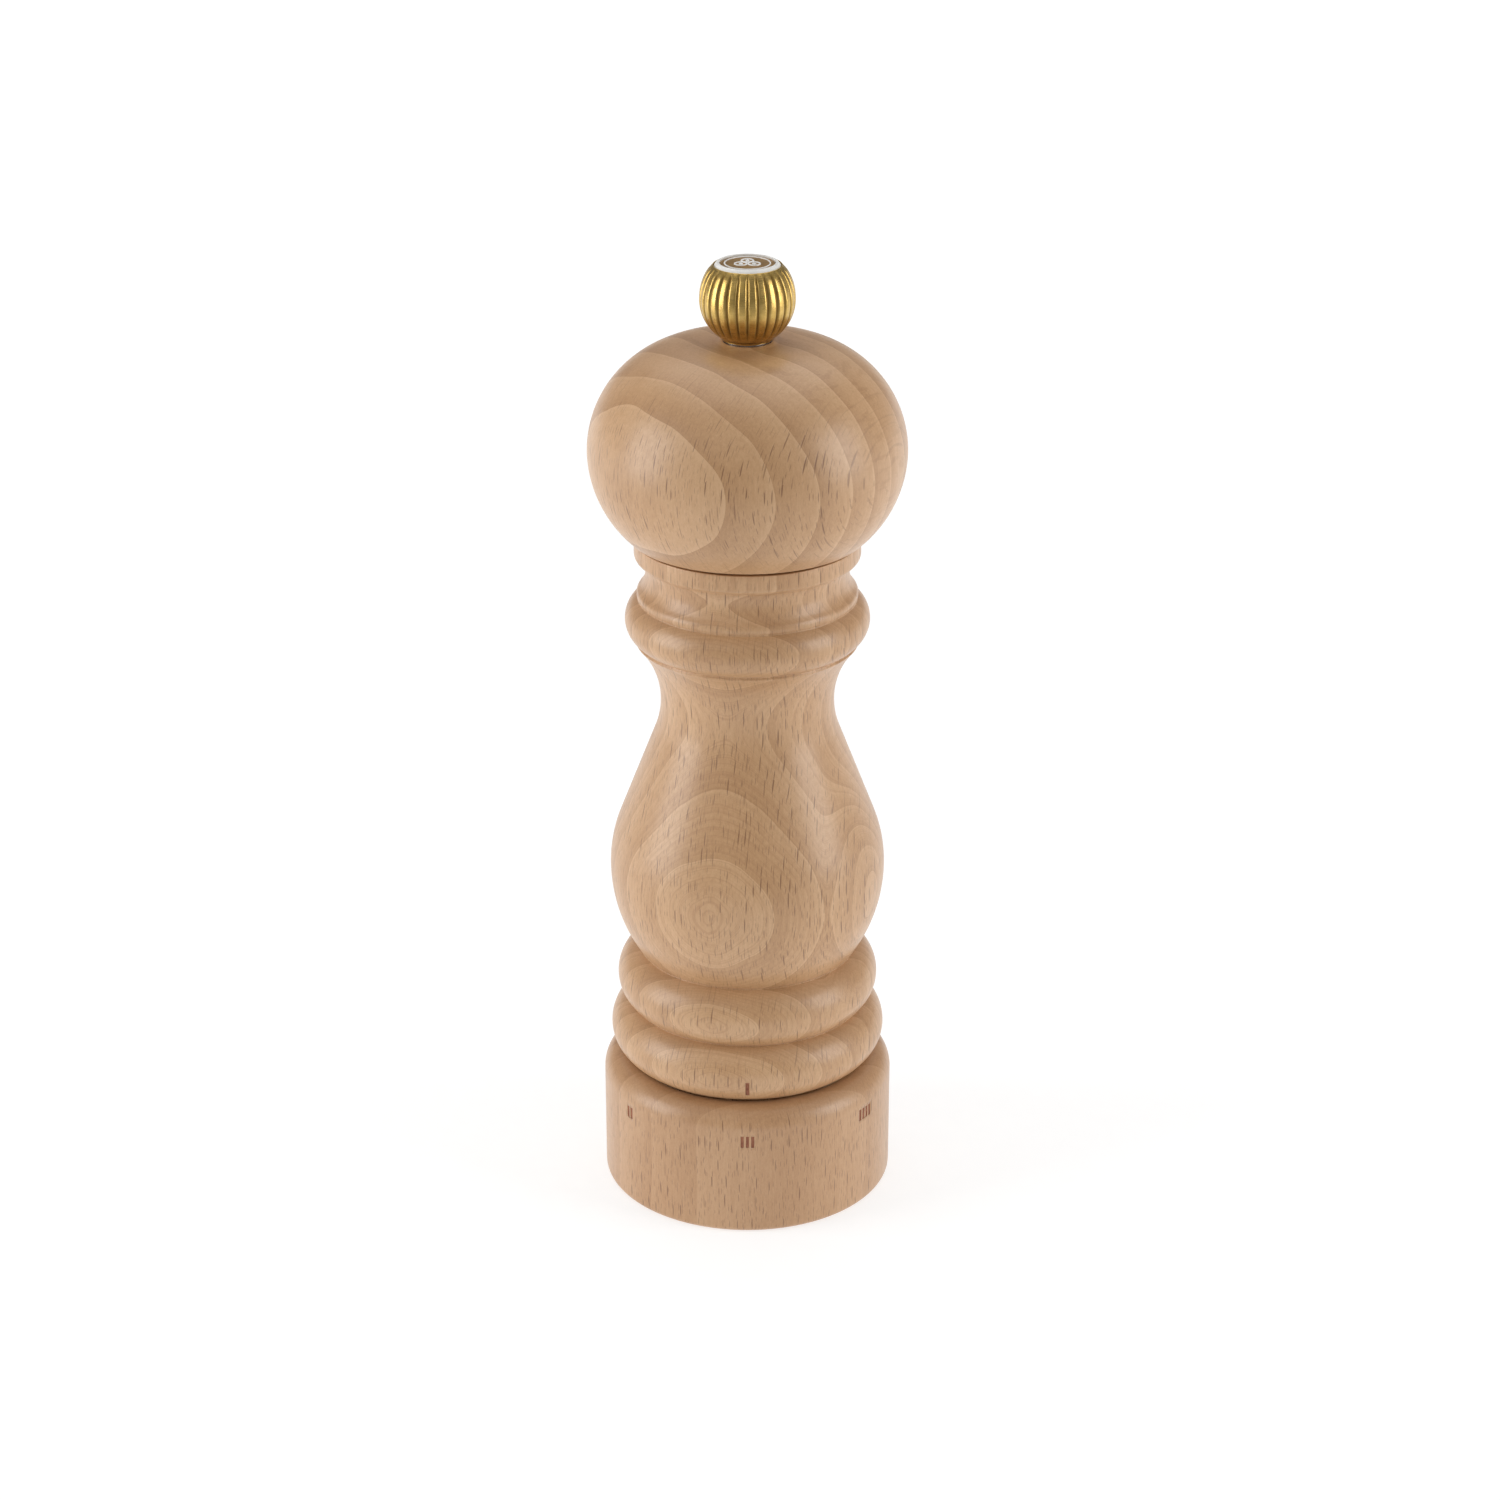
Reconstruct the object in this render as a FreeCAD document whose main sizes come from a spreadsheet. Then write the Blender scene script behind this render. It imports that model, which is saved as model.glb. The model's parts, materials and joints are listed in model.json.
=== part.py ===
"""Pepper mill, 180 mm tall: a turned beech barrel and ball head over a six-setting base ring.

The base ring's stepped cam lifts the outer burr for a coarser grind.  The head turns a square
shaft that carries the inner burr, and a ribbed knob on the shaft's end keeps the head on.
Millimetres, +Z up, origin at the centre of the face the mill stands on; the front is -Y.
"""
import FreeCAD, Part
import math
import os
import Sketcher

doc = FreeCAD.newDocument("pepper_mill")

# ---------------------------------------------------------------- driving sizes
SIZES = {
    # clearances, used wherever two pieces meet
    "turn_clearance": 0.3,      # between faces that turn or slide past each other
    "fixed_clearance": 0.05,    # between pieces that are fixed together
    "running_clearance": 0.06,  # radial, between the shaft's bush and its bearing
    "thread_clearance": 0.1,    # radial, where a plain bore stands for a thread
    "face_clearance": 0.05,     # between flat faces that rub

    # base ring
    "base_wall": 4.9,           # outside the liner
    "base_height": 25.6,
    "base_foot_round": 1.4,
    "base_shoulder_round": 4.2,
    "ledge_thickness": 3.3,
    "retainer_room": 1.25,      # from the retainer to the wall of its recess
    "liner_wall": 1.25,
    "liner_top_setback": 1.0,
    "ring_gap": 0.5,

    # barrel, outside
    "spigot_wall": 3.8,         # outside the housing
    "foot_step": 2.1,           # from the spigot to the barrel's foot
    "low_bead_height": 10.7,
    "low_bead_swell": 3.33,     # how far a bead stands out of the line between its ends
    "low_groove_radius": 22.0,
    "high_bead_height": 10.9,
    "high_bead_swell": 3.25,
    "high_groove_radius": 20.3,
    "bulb_radius": 25.55,
    "bulb_rise": 16.8,          # from the upper groove to the widest place
    "bulb_upper_round": 26.0,
    "flank_angle": 21.1,
    "neck_radius": 15.9,
    "neck_round": 17.3,
    "cove_rise": 11.6,          # from the narrowest place to the shoulder line
    "quirk_depth": 0.45,
    "quirk_height": 0.35,
    "collar_height": 8.0,
    "collar_swell": 2.3,
    "collar_top_radius": 19.9,
    "band_radius": 20.15,
    "band_height": 1.8,
    "throat_edge_radius": 19.3,
    "throat_height": 5.9,
    "throat_depth": 0.85,
    "lip_radius": 20.5,
    "lip_chamfer": 0.6,
    "lip_height": 3.75,

    # barrel, inside
    "chamber_radius": 12.0,
    "mouth_depth": 15.5,

    # head
    "head_seam": 0.3,
    "head_radius": 28.6,
    "head_low_rise": 15.9,      # from the seam to the widest place
    "head_low_round": 21.3,
    "head_flat_radius": 8.55,   # of the flat that the knob stands on
    "tenon_wall": 2.0,          # outside the chamber
    "tenon_length": 12.0,
    "head_bore_clearance": 0.55,
    "head_bush_rim": 0.7,
    "head_bush_flange": 1.0,
    "head_bush_length": 8.0,

    # drive plate and its screws
    "plate_setback": 1.0,       # from the tenon's edge
    "plate_thickness": 1.5,
    "plate_screw_inset": 5.0,   # from the tenon's edge
    "plate_screw_length": 9.0,
    "screw_shank_radius": 1.25,
    "screw_head_radius": 2.2,
    "screw_head_height": 1.2,
    "screw_slot_width": 0.6,
    "screw_slot_depth": 0.6,

    # shaft
    "shaft_side": 6.0,
    "shaft_end_radius": 2.5,
    "shaft_tail": 2.6,
    "square_top_setback": 10.0,  # below the head's top
    "shaft_top_setback": 3.6,    # below the knob's top
    "nut_radius": 4.6,
    "nut_height": 1.8,

    # bearing of the shaft
    "bush_wall": 0.6,           # outside the shaft's corners
    "bush_flange": 1.3,
    "bush_flange_thickness": 1.0,
    "clip_thickness": 0.8,

    # grinding housing
    "housing_radius": 17.0,
    "housing_wall": 1.4,
    "housing_bottom": 0.5,
    "spring_room": 6.85,        # from the carrier to the bridge
    "flange_thickness": 1.5,
    "flange_setback": 0.5,      # from the spigot's edge
    "flange_screw_inset": 2.0,  # from the spigot's edge
    "flange_screw_length": 7.0,
    "flange_screw_head": 1.6,
    "bridge_thickness": 3.0,
    "bridge_rim": 2.4,
    "hub_wall": 2.4,
    "spoke_width": 3.6,
    "retainer_groove": 0.5,
    "retainer_thickness": 1.0,
    "retainer_width": 2.4,
    "retainer_opening": 6.0,
    "retainer_bottom": 1.1,

    # cam
    "cam_floor": 0.7,
    "cam_first_step": 0.25,
    "cam_step": 0.25,
    "cam_track_gap": 0.25,
    "cam_track_width": 1.55,
    "follower_gap": 0.25,
    "lug_width": 4.4,
    "lug_height": 1.4,
    "arm_clearance": 0.4,       # of the long arm over the inner track's highest step
    "arm_height": 0.95,
    "arm_headroom": 0.35,

    # burrs and carrier
    "carrier_wall": 1.8,
    "carrier_height": 14.4,
    "carrier_lip": 1.2,
    "carrier_lip_thickness": 1.2,
    "lock_ring_height": 1.2,
    "lock_ring_width": 2.0,
    "outer_burr_wall": 2.55,
    "inner_burr_top_wall": 2.0, # outside the corners of its square hole
    "inner_burr_bottom": 6.0,
    "inner_burr_height": 13.5,
    "burr_band_height": 2.7,    # of the straight band under the cone
    "fine_height": 6.75,        # of the fine teeth, below the coarse ones
    "burr_gap": 0.5,
    "fine_teeth": 24,
    "fine_tooth_size": 0.62,
    "coarse_teeth": 6,
    "coarse_tooth_size": 1.9,
    "outer_coarse_teeth": 8,
    "outer_coarse_size": 1.35,
    "tooth_overrun": 0.5,
    "spring_wire_radius": 0.55,
    "spring_turns": 3.0,

    # knob
    "knob_foot_wall": 0.7,      # outside the insert
    "knob_foot_height": 0.3,
    "knob_radius": 8.5,
    "knob_low_rise": 7.1,
    "knob_upper_rise": 5.1,
    "knob_shoulder_radius": 6.95,
    "knob_ribs": 28,
    "knob_flute_radius": 0.42,
    "knob_flute_depth": 0.3,
    "knob_bezel_width": 0.95,
    "knob_bezel_crest": 0.35,
    "knob_bevel_height": 0.75,
    "knob_disc_radius": 4.9,
    "knob_disc_setback": 0.2,
    "knob_crown": 0.93,
    "washer_thickness": 0.5,
    "washer_radius": 4.1,
    "insert_wall": 1.1,
    "insert_roof": 0.6,
    "shaft_end_room": 0.2,
}

SETTINGS = 6
SETTING_PITCH = 54.0            # degrees of the base ring's turn from one setting to the next
REST_SETTING = 3

# degrees round the axis, from +X
SHORT_LUG_ANGLE = 90.0
LONG_LUG_ANGLE = 270.0
FIRST_FLANGE_SCREW = 45.0
FLANGE_SCREWS = 4
FIRST_PLATE_SCREW = 30.0
PLATE_SCREWS = 3
FIRST_SPOKE = 30.0
SPOKES = 3

# degrees that a groove leans on its way up a burr
COARSE_LEAN = 38.0
FINE_LEAN = 14.0

# degrees of the knob's flutes, seen from the side, from level upwards
FLUTE_START = -48.0
FLUTE_SWEEP = 84.0

# lengths that only help to make a shape and leave no trace in it
CUT_OVERRUN = 1.0               # how far a cutter runs past the wall it cuts
JOIN_OVERLAP = 0.6              # how far two blanks share before they are joined
CORE_RADIUS = 0.5               # a blank's bore, which its square hole then takes away
HALF_DIAGONAL = math.sqrt(0.5)  # of a square, over its side


class Size:
    """A number worked out from the sheet, with the expression that gives it."""

    def __init__(self, number, text):
        self.number = float(number)
        self.text = text

    def __add__(self, other):
        other = as_size(other)
        return Size(self.number + other.number, "(%s + %s)" % (self.text, other.text))

    def __sub__(self, other):
        other = as_size(other)
        return Size(self.number - other.number, "(%s - %s)" % (self.text, other.text))

    def __mul__(self, other):
        other = as_size(other)
        return Size(self.number * other.number, "(%s * %s)" % (self.text, other.text))

    def __truediv__(self, other):
        other = as_size(other)
        return Size(self.number / other.number, "(%s / %s)" % (self.text, other.text))

    def __radd__(self, other):
        return as_size(other) + self

    def __rsub__(self, other):
        return as_size(other) - self

    def __rmul__(self, other):
        return as_size(other) * self


def as_size(value):
    if isinstance(value, Size):
        return value
    return Size(value, "%.9g" % value)


def root(value):
    return Size(math.sqrt(value.number), "sqrt(%s)" % value.text)


def cosine(angle):
    return Size(math.cos(math.radians(angle.number)), "cos(%s)" % angle.text)


def sine(angle):
    return Size(math.sin(math.radians(angle.number)), "sin(%s)" % angle.text)


def round_over(span, swell):
    """The radius of the arc over a span that stands out of it by the swell."""
    return (span * span / 4 + swell * swell) / (2 * swell)


def round_beside(rise, span):
    """The radius of the arc that starts upright and moves in by the span over the rise."""
    return (rise * rise + span * span) / (2 * span)


def fill_sheet(name, values):
    sheet = doc.addObject("Spreadsheet::Sheet", name)
    for row, (alias, value) in enumerate(values.items(), start=1):
        sheet.set("A%d" % row, alias)
        sheet.set("B%d" % row, str(value))
        sheet.setAlias("B%d" % row, alias)
    return sheet


sizes = fill_sheet("Sizes", SIZES)
places = doc.addObject("Spreadsheet::Sheet", "Places")
doc.recompute()


def size(alias):
    return Size(sizes.get(alias), "Sizes." + alias)


def place_value(alias, value):
    """Keep a worked-out place in the second sheet, as a formula over the first."""
    row = len(place_value.known) + 1
    place_value.known.append(alias)
    places.set("A%d" % row, alias)
    places.set("B%d" % row, "=" + value.text)
    places.setAlias("B%d" % row, alias)
    return Size(value.number, "Places." + alias)


place_value.known = []


# ---------------------------------------------------------------- ways of making a piece
def origin_plane(body, role):
    for feature in body.Origin.OriginFeatures:
        if feature.Role == role:
            return feature
    raise RuntimeError("no origin plane " + role)


def arc_between(start, end, radius, left):
    """The short arc from start to end, its centre on the left or the right of the way."""
    middle = (start + end) * 0.5
    along = end - start
    half = along.Length / 2
    reach = math.sqrt(max(radius * radius - half * half, 0.0))
    along.normalize()
    normal = FreeCAD.Vector(-along.y, along.x, 0)
    centre = middle + normal * (reach if left else -reach)
    first = math.atan2(start.y - centre.y, start.x - centre.x)
    last = math.atan2(end.y - centre.y, end.x - centre.x)
    circle = Part.Circle(centre, FreeCAD.Vector(0, 0, 1), radius)
    if left:
        return Part.ArcOfCircle(circle, first, last)
    return Part.ArcOfCircle(circle, last, first)


def draw_outline(sketch, outline):
    """Draw a closed outline of (radius, level) corners.

    An ("out", round) or ("in", round) between two corners bends that side into an arc
    that swells away from the solid or hollows into it, for corners given anticlockwise.
    """
    corners = [item for item in outline if not isinstance(item[0], str)]
    bends = {}
    count = -1
    for item in outline:
        if isinstance(item[0], str):
            bends[count] = item
        else:
            count += 1
    points = [FreeCAD.Vector(as_size(r).number, as_size(z).number, 0) for r, z in corners]
    starts = []
    ends = []
    for index, start in enumerate(points):
        end = points[(index + 1) % len(points)]
        if index in bends:
            way, bend = bends[index]
            left = way == "out"
            number = sketch.addGeometry(arc_between(start, end, bend.number, left), False)
            starts.append((number, 1 if left else 2))
            ends.append((number, 2 if left else 1))
        else:
            number = sketch.addGeometry(Part.LineSegment(start, end), False)
            starts.append((number, 1))
            ends.append((number, 2))
    for index in range(len(points)):
        meet = (index + 1) % len(points)
        pair = ends[index] + starts[meet]
        sketch.addConstraint(Sketcher.Constraint("Coincident", *pair))
    for index, (radius, level) in enumerate(corners):
        bind_distance(sketch, "DistanceX", starts[index], as_size(radius))
        bind_distance(sketch, "DistanceY", starts[index], as_size(level))
    for index, (way, bend) in bends.items():
        constraint = Sketcher.Constraint("Radius", starts[index][0], bend.number)
        number = sketch.addConstraint(constraint)
        sketch.setExpression("Constraints[%d]" % number, bend.text)


def bind_distance(sketch, kind, spot, value):
    constraint = Sketcher.Constraint(kind, spot[0], spot[1], value.number)
    number = sketch.addConstraint(constraint)
    sketch.setExpression("Constraints[%d]" % number, value.text)


def turned(label, outline):
    """A piece turned about the mill's axis from its half outline."""
    body = doc.addObject("PartDesign::Body", label + "_body")
    body.Label = label
    sketch = body.newObject("Sketcher::SketchObject", label + "_outline")
    sketch.AttachmentSupport = (origin_plane(body, "XZ_Plane"), [""])
    sketch.MapMode = "FlatFace"
    draw_outline(sketch, outline)
    turn = body.newObject("PartDesign::Revolution", label + "_turn")
    turn.Profile = sketch
    turn.ReferenceAxis = (sketch, ["V_Axis"])
    turn.Angle = 360
    body.Tip = turn
    return body


def bind(item, **values):
    for name, value in values.items():
        value = as_size(value)
        setattr(item, name, value.number)
        item.setExpression(name, value.text)


def stand(item, x=0, y=0, level=0, rotation=None):
    """Put a primitive in place, its position bound to the sheets."""
    spot = [as_size(x), as_size(y), as_size(level)]
    if rotation is None:
        rotation = FreeCAD.Rotation()
    base = FreeCAD.Vector(*[part.number for part in spot])
    item.Placement = FreeCAD.Placement(base, rotation)
    for axis, part in zip("xyz", spot):
        item.setExpression("Placement.Base." + axis, part.text)
    return item


def cylinder(label, radius, height):
    item = doc.addObject("Part::Cylinder", label)
    bind(item, Radius=radius, Height=height)
    return item


def block(label, length, width, height):
    item = doc.addObject("Part::Box", label)
    bind(item, Length=length, Width=width, Height=height)
    return item


def square_bar(label, side, bottom, top):
    """A square bar along the axis."""
    item = block(label, side, side, top - bottom)
    return stand(item, side * -0.5, side * -0.5, bottom)


def radial_block(label, inner, outer, width, bottom, top, degrees):
    """A block that runs out along a radius, standing at an angle round the axis."""
    item = block(label, outer - inner, width, top - bottom)
    angle = Size(degrees, "%.9g" % degrees)
    x = inner * cosine(angle) + width * 0.5 * sine(angle)
    y = inner * sine(angle) - width * 0.5 * cosine(angle)
    turn = FreeCAD.Rotation(FreeCAD.Vector(0, 0, 1), degrees)
    return stand(item, x, y, bottom, turn)


def joined(label, items):
    item = doc.addObject("Part::MultiFuse", label)
    item.Shapes = items
    item.Label = label
    return item


def grouped(label, items):
    """Several separate solids in one sub-part."""
    item = doc.addObject("Part::Compound", label)
    item.Links = items
    item.Label = label
    return item


def carved(label, base, tools):
    """A piece with one or more tools cut away."""
    base.Label = label + "_blank"
    tool = tools[0]
    if len(tools) > 1:
        tool = grouped(label + "_tools", tools)
    item = doc.addObject("Part::Cut", label)
    item.Base = base
    item.Tool = tool
    item.Label = label
    return item


def round_the_axis(count, first=0.0):
    return [first + 360.0 / count * index for index in range(count)]


def on_circle(radius, degrees):
    angle = Size(degrees, "%.9g" % degrees)
    return radius * cosine(angle), radius * sine(angle)


flange_screw_angles = round_the_axis(FLANGE_SCREWS, FIRST_FLANGE_SCREW)
plate_screw_angles = round_the_axis(PLATE_SCREWS, FIRST_PLATE_SCREW)


# ---------------------------------------------------------------- levels up the axis
turn_clearance = size("turn_clearance")
fixed_clearance = size("fixed_clearance")
face_clearance = size("face_clearance")

# the housing, and what turns or slides on it
housing_bore = place_value("housing_bore", size("housing_radius") - size("housing_wall"))
mechanism_bore = place_value("mechanism_bore", size("housing_radius") + fixed_clearance)
spigot_radius = place_value("spigot_radius", size("housing_radius") + size("spigot_wall"))
liner_bore = place_value("liner_bore", spigot_radius + turn_clearance)
liner_radius = place_value("liner_radius", liner_bore + size("liner_wall"))
base_bore = place_value("base_bore", liner_radius + fixed_clearance)
base_radius = place_value("base_radius", base_bore + size("base_wall"))
retainer_bore = place_value(
    "retainer_bore", size("housing_radius") - size("retainer_groove") + fixed_clearance)
retainer_radius = place_value("retainer_radius", retainer_bore + size("retainer_width"))
retainer_recess = place_value("retainer_recess", retainer_radius + size("retainer_room"))
flange_radius = place_value("flange_radius", spigot_radius - size("flange_setback"))
flange_circle = place_value("flange_circle", spigot_radius - size("flange_screw_inset"))

# levels of the base ring's ledge, the cam on it and the lugs over the cam
retainer_top = place_value(
    "retainer_top", size("retainer_bottom") + size("retainer_thickness"))
ledge_foot = place_value("ledge_foot", retainer_top + turn_clearance)
ledge_top = place_value("ledge_top", ledge_foot + size("ledge_thickness"))
cam_foot = place_value("cam_foot", ledge_top + face_clearance)
cam_floor = place_value("cam_floor_top", cam_foot + size("cam_floor"))
rest_step = place_value(
    "rest_step",
    cam_floor + size("cam_first_step") + (REST_SETTING - 1) * size("cam_step"))
rise_left = place_value("rise_left", (SETTINGS - REST_SETTING) * size("cam_step"))
lug_foot = place_value("lug_foot", rest_step + size("follower_gap"))
arm_foot = place_value("arm_foot", rest_step + rise_left + size("arm_clearance"))
arm_top = place_value("arm_top", arm_foot + size("arm_height"))
flange_foot = place_value("flange_foot", arm_top + rise_left + size("arm_headroom"))
flange_top = place_value("flange_top", flange_foot + size("flange_thickness"))
cam_bore = place_value("cam_bore", size("housing_radius") + turn_clearance)
cam_middle = place_value("cam_middle", cam_bore + size("cam_track_width"))
outer_track = place_value("outer_track", cam_middle + size("cam_track_gap"))
cam_radius = place_value("cam_radius", outer_track + size("cam_track_width"))

# the shaft, the burrs and their carrier
shaft_corner = place_value("shaft_corner", size("shaft_side") * HALF_DIAGONAL)
bush_radius = place_value("bush_radius", shaft_corner + size("bush_wall"))
hub_bore = place_value("hub_bore", bush_radius + size("running_clearance"))
square_hole = place_value("square_hole", size("shaft_side") + 2 * fixed_clearance)
carrier_radius = place_value("carrier_radius", housing_bore - turn_clearance)
carrier_bore = place_value("carrier_bore", carrier_radius - size("carrier_wall"))
burr_radius = place_value("burr_radius", carrier_bore - fixed_clearance)
outer_burr_low = place_value("outer_burr_low", burr_radius - size("outer_burr_wall"))
inner_burr_low = place_value("inner_burr_low", outer_burr_low - size("burr_gap"))
inner_burr_high = place_value(
    "inner_burr_high", square_hole * HALF_DIAGONAL + size("inner_burr_top_wall"))
burr_foot = place_value("burr_foot", size("inner_burr_bottom"))
burr_top = place_value("burr_top", burr_foot + size("inner_burr_height"))
burr_band = place_value("burr_band", burr_foot + size("burr_band_height"))
burr_waist = place_value("burr_waist", burr_foot + size("fine_height"))
burr_slope = place_value(
    "burr_slope", (inner_burr_low - inner_burr_high) / (burr_top - burr_band))
carrier_foot = place_value("carrier_foot", burr_foot + face_clearance)
carrier_top = place_value("carrier_top", carrier_foot + size("carrier_height"))
outer_burr_foot = place_value(
    "outer_burr_foot", carrier_foot + size("carrier_lip_thickness"))
outer_burr_top = place_value("outer_burr_top", carrier_top - size("lock_ring_height"))
housing_top = place_value("housing_top", carrier_top + size("spring_room"))
bridge_top = place_value("bridge_top", housing_top + size("bridge_thickness"))

# the barrel's outside; the flank touches the bulb's arc below it and the neck's above it
barrel_foot = place_value("barrel_foot", size("base_height") + size("ring_gap"))
foot_edge = place_value("foot_edge", spigot_radius + size("foot_step"))
low_groove = place_value("low_groove", barrel_foot + size("low_bead_height"))
high_groove = place_value("high_groove", low_groove + size("high_bead_height"))
bulb_level = place_value("bulb_level", high_groove + size("bulb_rise"))
flank = size("flank_angle")
bulb_centre_radius = size("bulb_radius") - size("bulb_upper_round")
flank_foot_radius = place_value(
    "flank_foot_radius", bulb_centre_radius + size("bulb_upper_round") * cosine(flank))
flank_foot = place_value("flank_foot", bulb_level + size("bulb_upper_round") * sine(flank))
neck_centre_radius = size("neck_radius") + size("neck_round")
flank_head_radius = place_value(
    "flank_head_radius", neck_centre_radius - size("neck_round") * cosine(flank))
flank_rise = (flank_foot_radius - flank_head_radius) * cosine(flank) / sine(flank)
flank_head = place_value("flank_head", flank_foot + flank_rise)
neck_level = place_value("neck_level", flank_head + size("neck_round") * sine(flank))
shoulder = place_value("shoulder", neck_level + size("cove_rise"))
shoulder_radius = place_value(
    "shoulder_radius",
    neck_centre_radius - root(size("neck_round") * size("neck_round")
                              - size("cove_rise") * size("cove_rise")))
collar_foot = place_value("collar_foot", shoulder + size("quirk_height"))
collar_top = place_value("collar_top", collar_foot + size("collar_height"))
band_top = place_value("band_top", collar_top + size("band_height"))
lip_foot = place_value("lip_foot", band_top + size("throat_height"))
barrel_top = place_value("barrel_top", lip_foot + size("lip_height"))
mouth_floor = place_value("mouth_floor", barrel_top - size("mouth_depth"))

# the head
head_foot = place_value("head_foot", barrel_top + size("head_seam"))
tenon_foot = place_value("tenon_foot", head_foot - size("tenon_length"))
head_middle = place_value("head_middle", head_foot + size("head_low_rise"))
head_upper_round = place_value(
    "head_upper_round", size("head_radius") - size("head_flat_radius"))
head_top = place_value("head_top", head_middle + head_upper_round)
head_foot_radius = place_value(
    "head_foot_radius",
    size("head_radius") - size("head_low_round")
    + root(size("head_low_round") * size("head_low_round")
           - size("head_low_rise") * size("head_low_rise")))
tenon_radius = place_value("tenon_radius", size("chamber_radius") + size("tenon_wall"))
mouth_radius = place_value("mouth_radius", tenon_radius + turn_clearance)
plate_foot = place_value("plate_foot", tenon_foot - size("plate_thickness"))
plate_circle = place_value("plate_circle", tenon_radius - size("plate_screw_inset"))
head_bore = place_value("head_bore", shaft_corner + size("head_bore_clearance"))
head_bush_edge = place_value("head_bush_edge", head_bore + size("head_bush_rim"))

# the knob and the shaft's ends
washer_foot = place_value("washer_foot", head_top + face_clearance)
knob_foot = place_value("knob_foot", washer_foot + size("washer_thickness") + face_clearance)
knob_swell = place_value("knob_swell", knob_foot + size("knob_foot_height"))
knob_middle = place_value("knob_middle", knob_swell + size("knob_low_rise"))
knob_shoulder = place_value("knob_shoulder", knob_middle + size("knob_upper_rise"))
knob_rim = place_value("knob_rim", knob_shoulder + size("knob_bevel_height"))
knob_top = place_value("knob_top", knob_rim + size("knob_crown"))
square_top = place_value("square_top", head_top - size("square_top_setback"))
shaft_top = place_value("shaft_top", knob_top - size("shaft_top_setback"))
insert_bore = place_value(
    "insert_bore", size("shaft_end_radius") + size("thread_clearance"))
insert_radius = place_value("insert_radius", insert_bore + size("insert_wall"))
insert_roof = place_value("insert_roof_level", shaft_top + size("shaft_end_room"))
insert_top = place_value("insert_top", insert_roof + size("insert_roof"))
bezel_foot = place_value("bezel_foot", insert_top + face_clearance)
bezel_bore = place_value("bezel_bore", size("knob_disc_radius") + fixed_clearance)
bezel_radius = place_value("bezel_radius", bezel_bore + size("knob_bezel_width"))


# ---------------------------------------------------------------- base ring and what is in it
def base_ring():
    foot = size("base_foot_round")
    top = size("base_shoulder_round")
    radius = base_radius
    height = size("base_height")
    return turned("base_ring", [
        (retainer_recess, 0),
        (radius - foot, 0),
        ("out", foot),
        (radius, foot),
        (radius, height - top),
        ("out", top),
        (radius - top, height),
        (base_bore, height),
        (base_bore, ledge_top),
        (cam_bore, ledge_top),
        (cam_bore, ledge_foot),
        (retainer_recess, ledge_foot),
    ])


def ring_liner():
    top = size("base_height") - size("liner_top_setback")
    return turned("ring_liner", [
        (liner_bore, ledge_top),
        (liner_radius, ledge_top),
        (liner_radius, top),
        (liner_bore, top),
    ])


def sector(label, inner, outer, bottom, top, degrees):
    """One step of a track: a setting's share of the ring between two radii."""
    item = cylinder(label + "_outer", outer, top - bottom)
    item.Angle = SETTING_PITCH
    turn = FreeCAD.Rotation(FreeCAD.Vector(0, 0, 1), degrees - SETTING_PITCH / 2)
    stand(item, 0, 0, bottom, turn)
    core = stand(cylinder(label + "_core", inner, top - bottom), 0, 0, bottom)
    piece = doc.addObject("Part::Cut", label)
    piece.Base = item
    piece.Tool = core
    return piece


def cam_ring():
    """Two stepped tracks, half a turn apart, one under each of the carrier's lugs."""
    floor = turned("cam_floor_ring", [
        (cam_bore, cam_foot),
        (cam_radius, cam_foot),
        (cam_radius, cam_floor),
        (cam_bore, cam_floor),
    ])
    pieces = [floor]
    tracks = [
        ("inner", cam_bore, cam_middle, SHORT_LUG_ANGLE),
        ("outer", outer_track, cam_radius, LONG_LUG_ANGLE),
    ]
    for name, inner, outer, lug_angle in tracks:
        for setting in range(1, SETTINGS + 1):
            label = "cam_%s_%d" % (name, setting)
            top = cam_floor + size("cam_first_step") + (setting - 1) * size("cam_step")
            degrees = lug_angle + (setting - REST_SETTING) * SETTING_PITCH
            pieces.append(sector(label, inner, outer, cam_foot, top, degrees))
    return joined("cam_ring", pieces)


# ---------------------------------------------------------------- barrel and what is fixed in it
def barrel():
    lip = size("lip_chamfer")
    return turned("barrel", [
        (mechanism_bore, flange_top),
        (spigot_radius, flange_top),
        (spigot_radius, barrel_foot),
        (foot_edge, barrel_foot),
        ("out", round_over(size("low_bead_height"), size("low_bead_swell"))),
        (size("low_groove_radius"), low_groove),
        ("out", round_over(size("high_bead_height"), size("high_bead_swell"))),
        (size("high_groove_radius"), high_groove),
        ("out", round_beside(size("bulb_rise"),
                             size("bulb_radius") - size("high_groove_radius"))),
        (size("bulb_radius"), bulb_level),
        ("out", size("bulb_upper_round")),
        (flank_foot_radius, flank_foot),
        (flank_head_radius, flank_head),
        ("in", size("neck_round")),
        (shoulder_radius, shoulder),
        (shoulder_radius - size("quirk_depth"), collar_foot),
        ("out", round_over(size("collar_height"), size("collar_swell"))),
        (size("collar_top_radius"), collar_top),
        (size("band_radius"), collar_top),
        (size("band_radius"), band_top),
        (size("throat_edge_radius"), band_top),
        ("in", round_over(size("throat_height"), size("throat_depth"))),
        (size("throat_edge_radius"), lip_foot),
        (size("lip_radius") - lip, lip_foot),
        (size("lip_radius"), lip_foot + lip),
        (size("lip_radius"), barrel_top),
        (mouth_radius, barrel_top),
        (mouth_radius, mouth_floor),
        (size("chamber_radius"), mouth_floor),
        (size("chamber_radius"), bridge_top),
        (mechanism_bore, bridge_top),
    ])


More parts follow.
